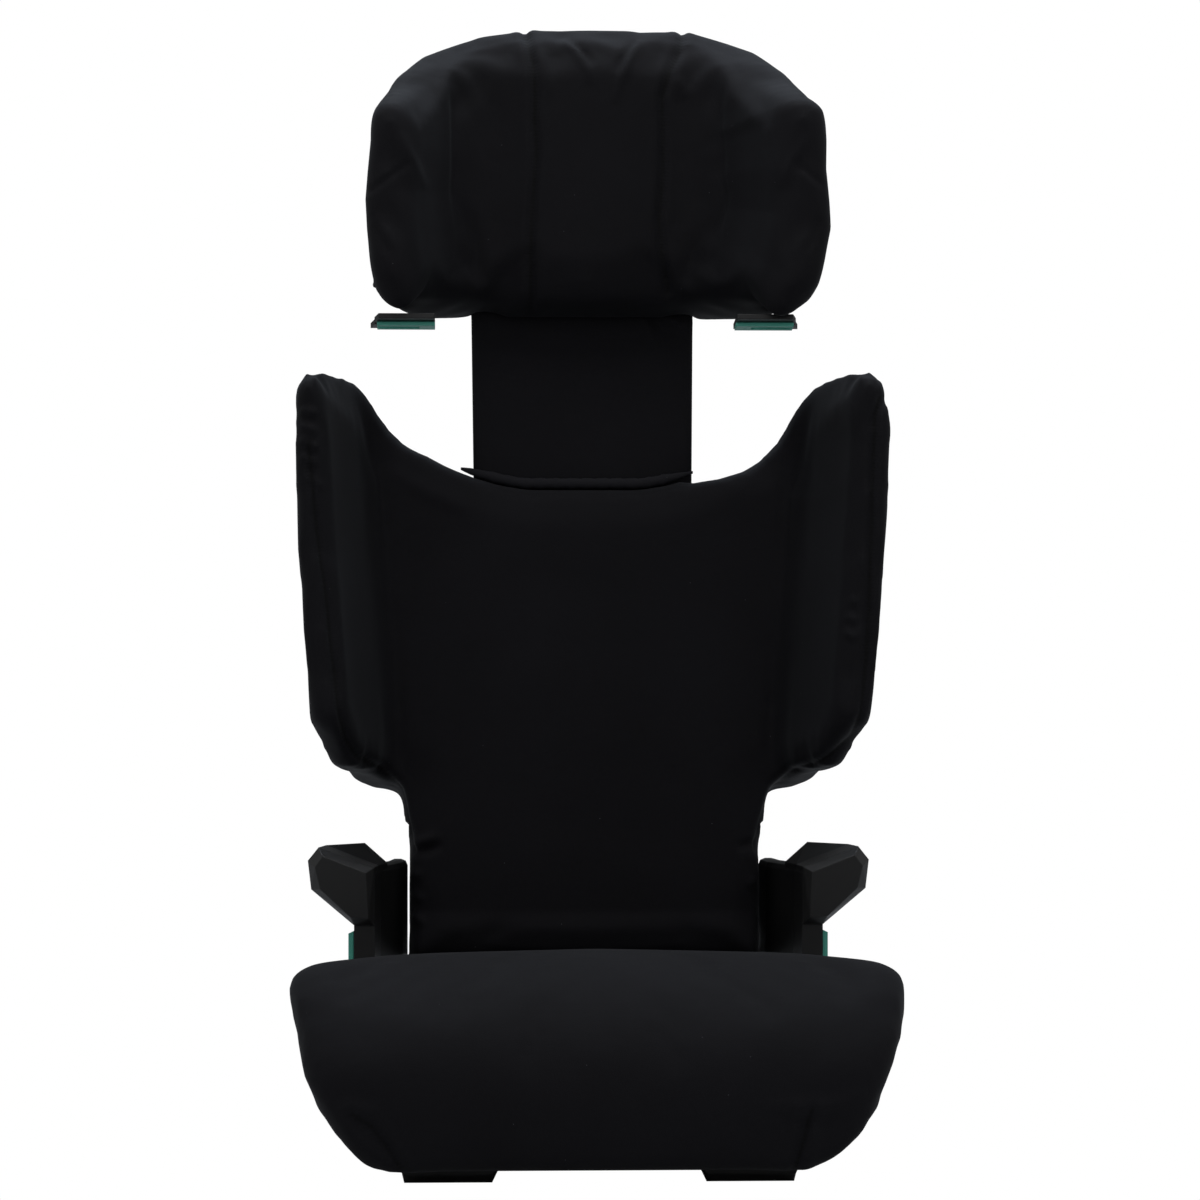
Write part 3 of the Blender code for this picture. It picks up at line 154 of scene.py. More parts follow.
seam = n.new("ShaderNodeAttribute")
seam.attribute_name = "seam_near"
run = n.new("ShaderNodeAttribute")
run.attribute_name = "seam_run"
# Painted shade: the cloth's colour is darkened to a quarter in a thin line along each seam, where its
# groove would lie in shade.
line = n.new("ShaderNodeMapRange")
line.inputs["From Min"].default_value = 0.72
line.inputs["From Max"].default_value = 0.95
line.inputs["To Min"].default_value = 1.0
line.inputs["To Max"].default_value = 0.25
link.new(seam.outputs["Fac"], line.inputs["Value"])
seam_painted_shade = n.new("ShaderNodeMix")
seam_painted_shade.data_type = "RGBA"
seam_painted_shade.blend_type = "MULTIPLY"
seam_painted_shade.inputs[0].default_value = 1.0
link.new(dots.outputs[2], seam_painted_shade.inputs[6])
link.new(line.outputs["Result"], seam_painted_shade.inputs[7])
link.new(seam_painted_shade.outputs[2], out.inputs["Colour"])
pitch = n.new("ShaderNodeMath")
pitch.operation = "MULTIPLY"
pitch.inputs[1].default_value = 2200.0
pull = n.new("ShaderNodeMath")
pull.operation = "SINE"
gather = n.new("ShaderNodeMath")
gather.operation = "MULTIPLY"
link.new(run.outputs["Fac"], pitch.inputs[0])
link.new(pitch.outputs[0], pull.inputs[0])
link.new(pull.outputs[0], gather.inputs[0])
link.new(seam.outputs["Fac"], gather.inputs[1])
stitch = n.new("ShaderNodeBump")
stitch.inputs["Strength"].default_value = 0.12
stitch.inputs["Distance"].default_value = 0.0005
link.new(gather.outputs[0], stitch.inputs["Height"])
rough = n.new("ShaderNodeMapRange")
rough.inputs["To Min"].default_value = 0.72
rough.inputs["To Max"].default_value = 0.9
link.new(nap.outputs["Fac"], rough.inputs["Value"])
link.new(rough.outputs["Result"], out.inputs["Roughness"])
weave = n.new("ShaderNodeBump")
weave.inputs["Strength"].default_value = 0.14
weave.inputs["Distance"].default_value = 0.0004
fuzz = n.new("ShaderNodeBump")
fuzz.inputs["Strength"].default_value = 0.25
fuzz.inputs["Distance"].default_value = 0.0003
link.new(loops.outputs[0], weave.inputs["Height"])
link.new(stitch.outputs["Normal"], weave.inputs["Normal"])
link.new(nap.outputs["Fac"], fuzz.inputs["Height"])
link.new(weave.outputs["Normal"], fuzz.inputs["Normal"])
link.new(fuzz.outputs["Normal"], out.inputs["Normal"])
cloth_material = bpy.data.materials.new("cover_knit")
cloth_material.use_nodes = True
tree = cloth_material.node_tree
group = tree.nodes.new("ShaderNodeGroup")
group.node_tree = knit
shader = tree.nodes["Principled BSDF"]
shader.inputs["Sheen Weight"].default_value = 0.018
shader.inputs["Sheen Roughness"].default_value = 0.45
shader.inputs["Sheen Tint"].default_value = (0.88, 0.94, 1.0, 1.0)
shader.inputs["Specular IOR Level"].default_value = 0.10
for given_by, taken_by in (("Colour", "Base Color"), ("Roughness", "Roughness"), ("Normal", "Normal")):
    tree.links.new(group.outputs[given_by], shader.inputs[taken_by])


def points_of(mesh):
    """The mesh's points, one row each."""
    spot = np.empty(3 * len(mesh.vertices))
    mesh.vertices.foreach_get("co", spot)
    return spot.reshape(-1, 3)


def normals_of(mesh):
    """The way each point faces, one row each."""
    face = np.empty(3 * len(mesh.vertices))
    mesh.vertex_normals.foreach_get("vector", face)
    return face.reshape(-1, 3)


def put_points(mesh, spot):
    """Moves the mesh's points to the given rows."""
    mesh.vertices.foreach_set("co", spot.ravel())
    mesh.update()


def ramp(value, width):
    """Rises from 0 at a value of nothing to 1 at a value of width."""
    return np.clip(value / width, 0.0, 1.0)


def neighbour_mean(mesh):
    """A function that gives, for one value per point, the mean over each point's neighbours."""
    ends = np.empty(2 * len(mesh.edges), dtype=np.int64)
    mesh.edges.foreach_get("vertices", ends)
    one, two = ends.reshape(-1, 2).T
    count = len(mesh.vertices)
    share = np.bincount(ends, minlength=count)
    return lambda value: (np.bincount(one, value[two], count) + np.bincount(two, value[one], count)) / share


def even_out(mesh, rounds):
    """Smooths the remeshed steps away without shrinking the form: each round draws in, then out."""
    mean = neighbour_mean(mesh)
    spot = points_of(mesh)
    for pull in (0.6, -0.61) * rounds:
        spot = spot + pull * (np.stack([mean(spot[:, axis]) for axis in range(3)], axis=1) - spot)
    put_points(mesh, spot)


def applied(piece):
    """The piece's mesh with its modifiers carried out, and the modifiers taken off."""
    mesh = bpy.data.meshes.new_from_object(piece.evaluated_get(bpy.context.evaluated_depsgraph_get()))
    piece.modifiers.clear()
    return mesh


def soft_pad(name, made_of, tuck, swell, held):
    """One closed padded form: the solids joined, remeshed, drawn in by tuck and blown out again by a
    cloth simulation, with no point moved further than swell and the held ones kept where they are."""
    voxel, pressure, moments = 0.005, 4.0, 20
    bm = bmesh.new()
    for node in made_of:
        bm.from_mesh(nodes[node].data)
    mesh = bpy.data.meshes.new(name)
    bm.to_mesh(mesh)
    bm.free()
    pad = bpy.data.objects.new(name, mesh)
    scene.collection.objects.link(pad)
    step = pad.modifiers.new("remesh", "REMESH")
    step.mode = "VOXEL"
    step.voxel_size = voxel
    mesh = pad.data = applied(pad)
    even_out(mesh, 30)
    spot, face = points_of(mesh), normals_of(mesh)
    free = np.clip(1.0 - held(spot, face), 0.0, 1.0)[:, None]
    start = spot - face * tuck * free
    mesh.vertices.foreach_set("co", start.ravel())
    group = pad.vertex_groups.new(name="held")
    for index, share in enumerate(free[:, 0]):
        group.add([index], 1.0 - float(share), "REPLACE")
    cloth = pad.modifiers.new("cloth", "CLOTH")
    cloth.settings.quality = 4
    cloth.settings.mass = 0.3
    cloth.settings.tension_stiffness = 20.0
    cloth.settings.compression_stiffness = 20.0
    cloth.settings.shear_stiffness = 8.0
    cloth.settings.bending_stiffness = 0.6
    cloth.settings.air_damping = 4.0
    cloth.settings.use_pressure = True
    cloth.settings.uniform_pressure_force = pressure
    cloth.settings.effector_weights.gravity = 0.0
    cloth.settings.vertex_group_mass = "held"
    cloth.collision_settings.use_collision = False
    for moment in range(1, moments + 1):
        scene.frame_set(moment)
    blown = applied(pad)
    scene.frame_set(1)
    move = points_of(blown) - start
    bpy.data.meshes.remove(blown)
    reach = np.linalg.norm(move, axis=1, keepdims=True)
    start = start + move * np.minimum(1.0, swell / np.maximum(reach, 1e-9))
    mesh.vertices.foreach_set("co", start.ravel())
    even_out(mesh, 6)
    step = pad.modifiers.new("subdivide", "SUBSURF")
    step.levels = 1
    step.render_levels = 1
    pad.data = applied(pad)
    pad.data.shade_smooth()
    pad.data.materials.clear()
    pad.data.materials.append(cloth_material)
    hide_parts(*made_of)
    return pad


def draw_edge(piece, along, across, root, line):
    """Draws one edge of a form to a line of (place along, place across) in metres. The move is whole at
    the edge and fades to nothing at root and at the line's ends."""
    bin_width, widest_fade, most = 0.004, 0.03, 0.009
    spot = points_of(piece.data)
    first, last = line[0][0], line[-1][0]
    count = int((last - first) / bin_width)
    side = 1.0 if line[0][1] > root else -1.0
    where = spot[:, along]
    slot = np.clip(((where - first) / (last - first) * count).astype(int), 0, count - 1)
    inside = (where > first) & (where < last)
    reach = np.full(count, -9.0)
    np.maximum.at(reach, slot[inside], side * spot[inside, across])
    middles = first + (np.arange(count) + 0.5) * (last - first) / count
    evened = np.convolve(np.pad(reach, 2, "edge"), np.ones(5) / 5.0, "valid")
    edge = side * np.interp(where, middles, evened)
    goal = np.interp(where, [a for a, b in line], [b for a, b in line])
    width = min(widest_fade, 0.3 * (last - first))
    fade = ramp(where - first, width) * ramp(last - where, width)
    share = np.clip((spot[:, across] - root) / (edge - root), 0.0, 1.1) ** 1.5
    spot[:, across] += fade * fade * (3.0 - 2.0 * fade) * share * np.clip(goal - edge, -most, most)
    put_points(piece.data, spot)


def draw_round(piece, middle, reach, *arcs):
    """Draws a form's outline, as seen from the front, to arcs of (x, z) points round a middle. The move is
    radial, whole at the outline, nothing at the middle, and fades out beyond each arc's ends."""
    count, most, joined, fade_turn, circle = 180, 0.016, 0.03, 0.16, 2.0 * np.pi
    spot = points_of(piece.data)
    off = spot[:, [0, 2]] - middle
    far = np.maximum(np.linalg.norm(off, axis=1), 1e-6)
    turn = np.arctan2(off[:, 1], off[:, 0])
    near = far < reach
    slot = np.clip(((turn + np.pi) / circle * count).astype(int), 0, count - 1)
    rim = np.zeros(count)
    np.maximum.at(rim, slot[near], far[near])
    rim = (np.roll(rim, 1) + rim + np.roll(rim, -1)) / 3.0
    mids = (np.arange(count) + 0.5) * circle / count - np.pi
    marks = []
    for arc in arcs:
        rel = np.array(arc) - middle
        turns = np.arctan2(rel[:, 1], rel[:, 0])
        moves = np.linalg.norm(rel, axis=1) - np.interp(turns, mids, rim, period=circle)
        marks += list(zip(turns, np.clip(moves, -most, most)))
        if np.linalg.norm(rel[0] - rel[-1]) > joined:
            marks += [(turns[0] - fade_turn, 0.0), (turns[-1] + fade_turn, 0.0)]
    marks = np.array(sorted(marks))
    move = np.interp(turn, marks[:, 0], marks[:, 1], period=circle)
    share = np.clip(far / np.interp(turn, mids, rim, period=circle), 0.0, 1.05) ** 2 * near
    spot[:, [0, 2]] += off / far[:, None] * (move * share)[:, None]
    put_points(piece.data, spot)


def clear_of(piece, shell, margin):
    """Lets the cover's outer skin out wherever it lies within margin of the shell's outer wall."""
    start_out, skin_gap, widest = 0.015, 0.0006, 0.05
    mesh = piece.data
    wall, skin = (BVHTree.FromPolygons([v.co for v in form.vertices], [f.vertices for f in form.polygons])
                  for form in (shell.data, mesh))
    need = np.zeros((len(mesh.vertices), 2))
    for k, v in enumerate(mesh.vertices):
        out = Vector((1.0 if v.co.x > 0.0 else -1.0, max(0.0, v.normal.y), 0.0)).normalized()
        if v.normal.x * out.x < 0.1 or skin.ray_cast(v.co + skin_gap * out, out, widest)[0] is not None:
            continue
        gap = wall.ray_cast(v.co + start_out * out, -out, start_out + margin)[3]
        if gap is not None:
            need[k] = (start_out - gap + margin) * np.array((abs(out.x), out.y))
    mean = neighbour_mean(mesh)
    spot = points_of(mesh)
    for axis, way in ((0, np.sign(spot[:, 0])), (1, 1.0)):
        spread = need[:, axis]
        for _ in range(8):
            spread = np.maximum(need[:, axis], mean(spread))
        spot[:, axis] += way * spread
    put_points(mesh, spot)


def sew(piece, seams, folds):
    """Seams sink along their lines and the cloth pillows beside them; folds are tapered ridges, or
    creases where the height is below zero. Lines are x and z in metres, on what faces forward."""
    sink, sink_width, painted_shade_width = 0.0020, 0.0028, 0.008
    pillow, pillow_off, pillow_width = 0.0007, 0.007, 0.004
    mesh = piece.data
    spot, face = points_of(mesh), normals_of(mesh)
    ahead = ramp(-face[:, 1] - 0.05, 0.25)
    above = ramp(face[:, 2] - 0.5, 0.3) * (face[:, 1] < 0.3)
    seen = np.maximum(ahead, above)
    near = np.zeros(len(spot))
    run = np.zeros(len(spot))
    lift = np.zeros(len(spot))
    for points, height, width in [(line, None, None) for line in seams] + folds:
        ends = np.array(points)
        steps = np.linalg.norm(np.diff(ends, axis=0), axis=1)
        gap = np.full(len(spot), 9.0)
        along = np.zeros(len(spot))
        for k, length in enumerate(steps):
            way = (ends[k + 1] - ends[k]) / length
            reach = np.clip((spot[:, [0, 2]] - ends[k]) @ way, 0.0, length)
            off = np.linalg.norm(spot[:, [0, 2]] - ends[k] - reach[:, None] * way, axis=1)
            along = np.where(off < gap, steps[:k].sum() + reach, along)
            gap = np.minimum(gap, off)
        if height is None:
            lift += seen * (pillow * np.exp(-((gap - pillow_off) / pillow_width) ** 2)
                            - sink * np.exp(-(gap / sink_width) ** 2))
            # seam_near is the mask for the painted shade along each seam, and also carries the stitch
            # dimples.
            close = seen * np.clip(1.0 - gap / painted_shade_width, 0.0, 1.0)
            run = np.where(close > near, along, run)
            near = np.maximum(near, close)
        else:
            taper = np.clip(np.sin(np.pi * along / steps.sum()), 0.0, 1.0) ** 0.6
            lift += seen * height * taper * np.exp(-(gap / width) ** 2)
    mesh.vertices.foreach_set("co", (spot + face * lift[:, None]).ravel())
    mesh.attributes.new("seam_near", "FLOAT", "POINT").data.foreach_set("value", near)
    mesh.attributes.new("seam_run", "FLOAT", "POINT").data.foreach_set("value", run)


# Seat cushion: foam on the pan under one cut of cover cloth, drawn round the front and held beneath
# by an elastic edge. The corners are darted in front, where the cloth turns under.
seat = soft_pad("seat_cushion", ["seat_cover", "seat_foam"], 0.003, 0.006,
                lambda spot, face: np.maximum(face[:, 2] < -0.4, (face[:, 1] > 0.4) | (spot[:, 1] > 0.06)))
draw_round(seat, (0.0, 0.085), 0.5,
           [(0.1480, 0.0116), (0.1600, 0.0186), (0.1765, 0.0327), (0.1868, 0.0468), (0.1915, 0.0538),
            (0.2012, 0.0750), (0.2098, 0.0961), (0.2130, 0.1032), (0.2161, 0.1173), (0.2166, 0.1350)],
           [(-0.2175, 0.1330), (-0.2161, 0.1190), (-0.2126, 0.1049), (-0.2112, 0.0979),
            (-0.2065, 0.0768), (-0.2005, 0.0641), (-0.1955, 0.0557), (-0.1910, 0.0486),
            (-0.1805, 0.0345), (-0.1690, 0.0204), (-0.1590, 0.0133)])
sew(seat,
    [[(0.1446, 0.0558), (0.1397, 0.0352), (0.1335, 0.0150)],
     [(-0.1716, 0.0539), (-0.1580, 0.0449), (-0.1470, 0.0300), (-0.1388, 0.0170)]],
    [([(0.1101, 0.0581), (0.1294, 0.0590), (0.1446, 0.0562), (0.1674, 0.0606), (0.1830, 0.0670)],
      0.0018, 0.0050),
     ([(0.1250, 0.0480), (0.1440, 0.0470), (0.1640, 0.0500)], -0.0018, 0.0050),
     ([(0.1480, 0.0520), (0.1450, 0.0300), (0.1420, 0.0180)], 0.0022, 0.0050),
     ([(-0.1902, 0.0640), (-0.1716, 0.0382), (-0.1423, 0.0170)], 0.0024, 0.0050),
     ([(-0.1800, 0.0600), (-0.1640, 0.0560), (-0.1500, 0.0580)], 0.0016, 0.0045)])
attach(seat, "base")

# Backrest pad: one foam form with side wings under a fitted cover, which is pieced along the wings'
# front edges and drawn round the shell behind. It gathers at the left tip and at the waist.
back = soft_pad("backrest_pad", ["backrest_cover", "backrest_foam"], 0.0025, 0.0032,
                lambda spot, face: np.maximum(
                    ramp(face[:, 1] + 0.1, 0.3),
                    (np.abs(spot[:, 0]) < 0.1) & (spot[:, 1] - 0.105 * spot[:, 2] > 0.102)))
draw_edge(back, 2, 0, -0.15,
          [(0.2950, -0.2085), (0.3227, -0.2097), (0.3543, -0.2112), (0.3844, -0.2142), (0.4145, -0.2157),
           (0.4446, -0.2187), (0.4747, -0.2195), (0.5048, -0.2205), (0.5349, -0.2210), (0.5550, -0.2210)])
draw_edge(back, 2, 0, 0.15,
          [(0.2950, 0.2110), (0.3223, 0.2122), (0.3541, 0.2152), (0.3843, 0.2183), (0.4146, 0.2213),
           (0.4448, 0.2236), (0.4751, 0.2266), (0.5053, 0.2274), (0.5356, 0.2289), (0.5550, 0.2280)])
draw_round(back, (-0.185, 0.485), 0.115,
           [(-0.1215, 0.5196), (-0.1315, 0.5237), (-0.1421, 0.5299), (-0.1518, 0.5392),
            (-0.1607, 0.5515), (-0.1680, 0.5630), (-0.1753, 0.5721), (-0.1798, 0.5755),
            (-0.1873, 0.5791), (-0.1986, 0.5806), (-0.2100, 0.5780), (-0.2165, 0.5728),
            (-0.2205, 0.5637), (-0.2215, 0.5502), (-0.2215, 0.5426)])
draw_round(back, (0.190, 0.485), 0.115,
           [(0.2287, 0.5434), (0.2279, 0.5547), (0.2272, 0.5623), (0.2241, 0.5699), (0.2203, 0.5744),
            (0.2120, 0.5792), (0.2021, 0.5803), (0.1930, 0.5792), (0.1869, 0.5765), (0.1808, 0.5728),
            (0.1724, 0.5638), (0.1646, 0.5523), (0.1587, 0.5406), (0.1527, 0.5303), (0.1419, 0.5194),
            (0.1342, 0.5133), (0.1249, 0.5075), (0.1054, 0.5019)])
for side in (-1.0, 1.0):
    draw_edge(back, 2, 0, 0.11 * side, [(0.105, 0.1362 * side), (0.240, 0.1362 * side)])
# The flap keeps clear of the armrests, and the channel for the neck carrier is opened a little.
arm_clear, flap_top = 0.1364, 0.235
channel_half, channel_floor, channel_back, channel_foot = 0.0980, -0.0190, 0.0185, 0.2
let_out_wall, let_out_bed, flap_forward, flap_down = 0.0026, 0.0020, 0.010, 0.006
spot = points_of(back.data)
spot[:, 0] = np.where(spot[:, 2] < flap_top, np.clip(spot[:, 0], -arm_clear, arm_clear), spot[:, 0])
aside = np.abs(spot[:, 0])
deep = 0.9945 * (spot[:, 1] - 0.13) - 0.1045 * (spot[:, 2] - 0.075)
channel = (deep < channel_back) & (spot[:, 2] > channel_foot)
walls = channel * ramp(channel_half - aside, 0.004) * ramp(deep - channel_floor - 0.0015, 0.002)
bed = channel * ramp(channel_half - 0.003 - aside, 0.003) * ramp(deep - channel_floor, 0.003)
spot[:, 0] += let_out_wall * np.sign(spot[:, 0]) * walls * ramp(aside - 0.07, 0.01)
spot[:, 1] -= let_out_bed * bed
spot[:, 1] -= flap_forward * ramp(0.172 - spot[:, 2], 0.04) * ramp(0.125 - spot[:, 1], 0.03)
spot[:, 2] -= flap_down * ramp(0.215 - spot[:, 2], 0.05)
put_points(back.data, spot)
clear_of(back, nodes["backrest_shell"], margin=0.0014)
sew(back,
    [[(-0.2105, 0.5250), (-0.2085, 0.5029), (-0.2039, 0.4594), (-0.1970, 0.4145), (-0.1924, 0.3697),
      (-0.1864, 0.3213), (-0.1816, 0.3006), (-0.1744, 0.2888), (-0.1566, 0.2772), (-0.1431, 0.2606),
      (-0.1376, 0.2374), (-0.1330, 0.2144)],
     [(0.2208, 0.5596), (0.2160, 0.5466), (0.2140, 0.4974), (0.2119, 0.4371), (0.2090, 0.3770),
      (0.2039, 0.3231), (0.1977, 0.3032), (0.1823, 0.2884), (0.1605, 0.2748), (0.1470, 0.2581),
      (0.1367, 0.2369), (0.1320, 0.2138)]],
    [([(-0.1345, 0.2125), (-0.1240, 0.2140), (-0.1100, 0.2190)], -0.0030, 0.0035),
     ([(-0.1345, 0.2190), (-0.1250, 0.2210), (-0.1130, 0.2260)], 0.0020, 0.0040),
     ([(0.1340, 0.2205), (0.1270, 0.2185), (0.1170, 0.2150)], -0.0024, 0.0035),
     ([(-0.1340, 0.1960), (-0.1250, 0.1940)], 0.0018, 0.0035),
     ([(-0.1340, 0.1800), (-0.1240, 0.1760)], 0.0018, 0.0035),
     ([(-0.1330, 0.1640), (-0.1230, 0.1580)], 0.0018, 0.0035),
     ([(0.1330, 0.1900), (0.1240, 0.1870)], 0.0016, 0.0035),
     ([(0.1956, 0.4070), (0.2030, 0.4047)], 0.0016, 0.0030),
     ([(0.1935, 0.3960), (0.2025, 0.3900)], 0.0018, 0.0030),
     ([(0.1917, 0.3845), (0.2013, 0.3770)], 0.0016, 0.0030),
     ([(-0.2170, 0.5500), (-0.2040, 0.5470)], 0.0026, 0.0032),
     ([(-0.2170, 0.5390), (-0.2030, 0.5330)], 0.0026, 0.0032),
     ([(-0.2170, 0.5280), (-0.2040, 0.5200)], 0.0026, 0.0032),
     ([(-0.2160, 0.5160), (-0.2050, 0.5080)], 0.0022, 0.0032),
     ([(-0.2130, 0.5020), (-0.2000, 0.4900)], 0.0016, 0.0034),
     ([(-0.1500, 0.5080), (-0.1200, 0.4900), (-0.0900, 0.4780)], 0.0014, 0.0060)])
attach(back, "backrest")

# Headrest pad: a winged foam form in a fitted cover of three panels, joined by two upright seams. The
# corners are darted in at the wings' front edges, and the spare cloth creases at the top.
head = soft_pad("headrest_pad", ["headrest_cover", "headrest_foam"], 0.0025, 0.006,
                lambda spot, face: ramp(face[:, 1] + 0.05, 0.3))
draw_round(head, (0.01, 0.74), 0.5,
           [(0.0862, 0.6300), (0.1040, 0.6280), (0.1234, 0.6270), (0.1428, 0.6275), (0.1544, 0.6300),
            (0.1637, 0.6345), (0.1714, 0.6400), (0.1792, 0.6500), (0.1840, 0.6687), (0.1894, 0.6918),
            (0.1871, 0.7149), (0.1848, 0.7380), (0.1855, 0.7611), (0.1848, 0.7726), (0.1825, 0.7841),
            (0.1735, 0.7950), (0.1650, 0.8095), (0.1530, 0.8250), (0.1375, 0.8400), (0.0930, 0.8560),
            (0.0464, 0.8570), (-0.0171, 0.8575), (-0.0784, 0.8540), (-0.0958, 0.8492), (-0.1250, 0.8372),
            (-0.1390, 0.8240), (-0.1500, 0.8090), (-0.1575, 0.7940), (-0.1625, 0.7826),
            (-0.1655, 0.7596), (-0.1675, 0.7366), (-0.1695, 0.7136), (-0.1685, 0.6906),
            (-0.1665, 0.6676), (-0.1640, 0.6550), (-0.1590, 0.6440), (-0.1506, 0.6350),
            (-0.1429, 0.6300), (-0.1314, 0.6275), (-0.1175, 0.6270), (-0.1044, 0.6280), (-0.0859, 0.6313)])
# The foam sags into a lobe under each wing.
lobe_middle, lobe_width, lobe_drop = 0.124, 0.036, 0.015
spot = points_of(head.data)
hang = np.exp(-((np.abs(spot[:, 0] - 0.005) - lobe_middle) / lobe_width) ** 2)
hang = hang * ramp(0.70 - spot[:, 2], 0.055)
spot[:, 2] -= lobe_drop * hang * ramp(0.0900 - spot[:, 1], 0.022)
put_points(head.data, spot)
clear_of(head, nodes["headrest_shell"], margin=0.0014)
sew(head,
    [[(-0.0460, 0.8600), (-0.0432, 0.8434), (-0.0394, 0.8279), (-0.0379, 0.8009), (-0.0387, 0.7826),
      (-0.0372, 0.7565), (-0.0405, 0.7139), (-0.0421, 0.6721), (-0.0413, 0.6350)],
     [(0.0800, 0.8600), (0.0764, 0.8397), (0.0683, 0.8233), (0.0618, 0.8009), (0.0625, 0.7779),
      (0.0623, 0.7414), (0.0589, 0.7042), (0.0611, 0.6782), (0.0657, 0.6480)]],
    [([(-0.0180, 0.8480), (-0.0060, 0.8380), (0.0036, 0.8207), (0.0060, 0.8100)], 0.0018, 0.0032),
     ([(-0.0110, 0.8480), (-0.0010, 0.8390), (0.0080, 0.8270)], -0.0020, 0.0032),
     ([(0.0470, 0.8480), (0.0383, 0.8354), (0.0287, 0.8130), (0.0240, 0.7950)], 0.0018, 0.0032),
     ([(0.0410, 0.8480), (0.0330, 0.8360), (0.0250, 0.8200)], -0.0020, 0.0032),
     ([(-0.0339, 0.8400), (-0.0290, 0.8200), (-0.0262, 0.8000)], 0.0012, 0.0036),
     ([(0.0740, 0.8180), (0.0800, 0.8000)], 0.0016, 0.0040),
     ([(-0.1336, 0.7421), (-0.1523, 0.7279), (-0.1700, 0.7150)], -0.0016, 0.0026),
     ([(0.1580, 0.7420), (0.1690, 0.7342), (0.1820, 0.7230)], -0.0016, 0.0026),
     ([(-0.1420, 0.7640), (-0.1380, 0.7520), (-0.1310, 0.7400), (-0.1237, 0.7230)], 0.0014, 0.0040),
     ([(-0.1300, 0.7380), (-0.1240, 0.7150), (-0.1220, 0.6900)], 0.0006, 0.0060),
     ([(0.1680, 0.7620), (0.1620, 0.7500), (0.1560, 0.7400), (0.1500, 0.7230)], 0.0014, 0.0040),
     ([(-0.1660, 0.7000), (-0.1580, 0.6839), (-0.1500, 0.6700)], -0.0014, 0.0032),
     ([(-0.1610, 0.7000), (-0.1540, 0.6860), (-0.1470, 0.6720)], 0.0010, 0.0040),
     ([(0.1780, 0.7000), (0.1740, 0.6850), (0.1680, 0.6720)], -0.0014, 0.0032)])
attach(head, "headrest")

# Neck sleeve: one cut of the cover cloth, stretched round the front and edges of the neck carrier, its
# edges turned in behind by 10 mm and glued. The spare length bunches up where it meets the headrest.
tilt = Matrix.Translation((0.0, 0.130, 0.075)) @ Matrix.Rotation(math.radians(-6.0), 4, "X")
bm = bmesh.new()
rows = []
for level in np.linspace(0.3005, 0.5985, 120):
    half = 0.0843 + 0.0038 * (level - 0.30) / 0.30
    edge = [(half - 0.0160, -0.0009), (half - 0.0100, -0.0009), (half - 0.0040, -0.0009),
            (half - 0.0012, -0.0022), (half, -0.0050), (half, -0.0080), (half, -0.0100),
            (half - 0.0008, -0.0122), (half - 0.0028, -0.0136), (half - 0.0060, -0.0140)]
    inner = np.linspace(-half + 0.0060, half - 0.0060, 70)[1:-1]
    path = [(-x, y) for x, y in edge] + [(x, -0.0140) for x in inner] + edge[::-1]
    rows.append([bm.verts.new(tilt @ Vector((x, y, level))) for x, y in path])
for one, two in zip(rows, rows[1:]):
    for k in range(len(one) - 1):
        bm.faces.new((one[k], one[k + 1], two[k + 1], two[k]))
bm.normal_update()
mesh = bpy.data.meshes.new("neck_sleeve")
bm.to_mesh(mesh)
bm.free()
mesh.shade_smooth()
mesh.materials.append(cloth_material)
sleeve = bpy.data.objects.new("neck_sleeve", mesh)
scene.collection.objects.link(sleeve)
sew(sleeve, [],
    [([(0.0380, 0.6400), (0.0457, 0.6330), (0.0535, 0.6180), (0.0570, 0.6050)], 0.0022, 0.0040),
     ([(0.0600, 0.6360), (0.0680, 0.6290), (0.0797, 0.6240), (0.0860, 0.6300)], 0.0024, 0.0038),
     ([(0.0560, 0.6300), (0.0640, 0.6220), (0.0740, 0.6150)], -0.0016, 0.0045),
     ([(-0.0860, 0.6380), (-0.0810, 0.6300), (-0.0784, 0.6200)], 0.0022, 0.0036),
     ([(-0.0740, 0.6380), (-0.0700, 0.6280), (-0.0690, 0.6180)], 0.0012, 0.0040)])
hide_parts("neck_cover")
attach(sleeve, "headrest")

# Cover hem: the top edge of the backrest cover, turned over an elastic and sewn down as a soft roll
# along the mouth of the neck channel. Its colour is lifted paler as painted light on the roll, and it
# gathers into a small knot at the left.
bm = bmesh.new()
rings = []
steps, sides = 140, 20
for step in range(steps + 1):
    x = -0.0960 + 0.1825 * step / steps
    top = 0.4240 + 0.0090 * max(0.0, (abs(x) - 0.0441) / 0.0424) ** 1.3
    knot = 0.35 * math.exp(-((x + 0.089) / 0.0045) ** 2)
    puff = 1.0 + knot + 0.06 * math.sin(520.0 * x) + 0.04 * math.sin(1130.0 * x)
    close = min(1.0, 0.25 + 6.0 * min(step, steps - step) / steps)
    ring = []
    for k in range(sides):
        turn = math.tau * k / sides
        ring.append(bm.verts.new(tilt @ Vector((x, -0.0178 + 0.0024 * close * math.cos(turn),
                                                top + 0.0041 * puff * close * math.sin(turn)))))
    rings.append(ring)
for one, two in zip(rings, rings[1:]):
    for k in range(sides):
        bm.faces.new((one[k], one[(k + 1) % sides], two[(k + 1) % sides], two[k]))
bm.faces.new(rings[0][::-1])
bm.faces.new(rings[-1])
bmesh.ops.recalc_face_normals(bm, faces=bm.faces)
mesh = bpy.data.meshes.new("hem_roll")
bm.to_mesh(mesh)
bm.free()
mesh.shade_smooth()
hem_material = cloth_material.copy()
hem_material.name = "cover_hem_knit"
tree = hem_material.node_tree
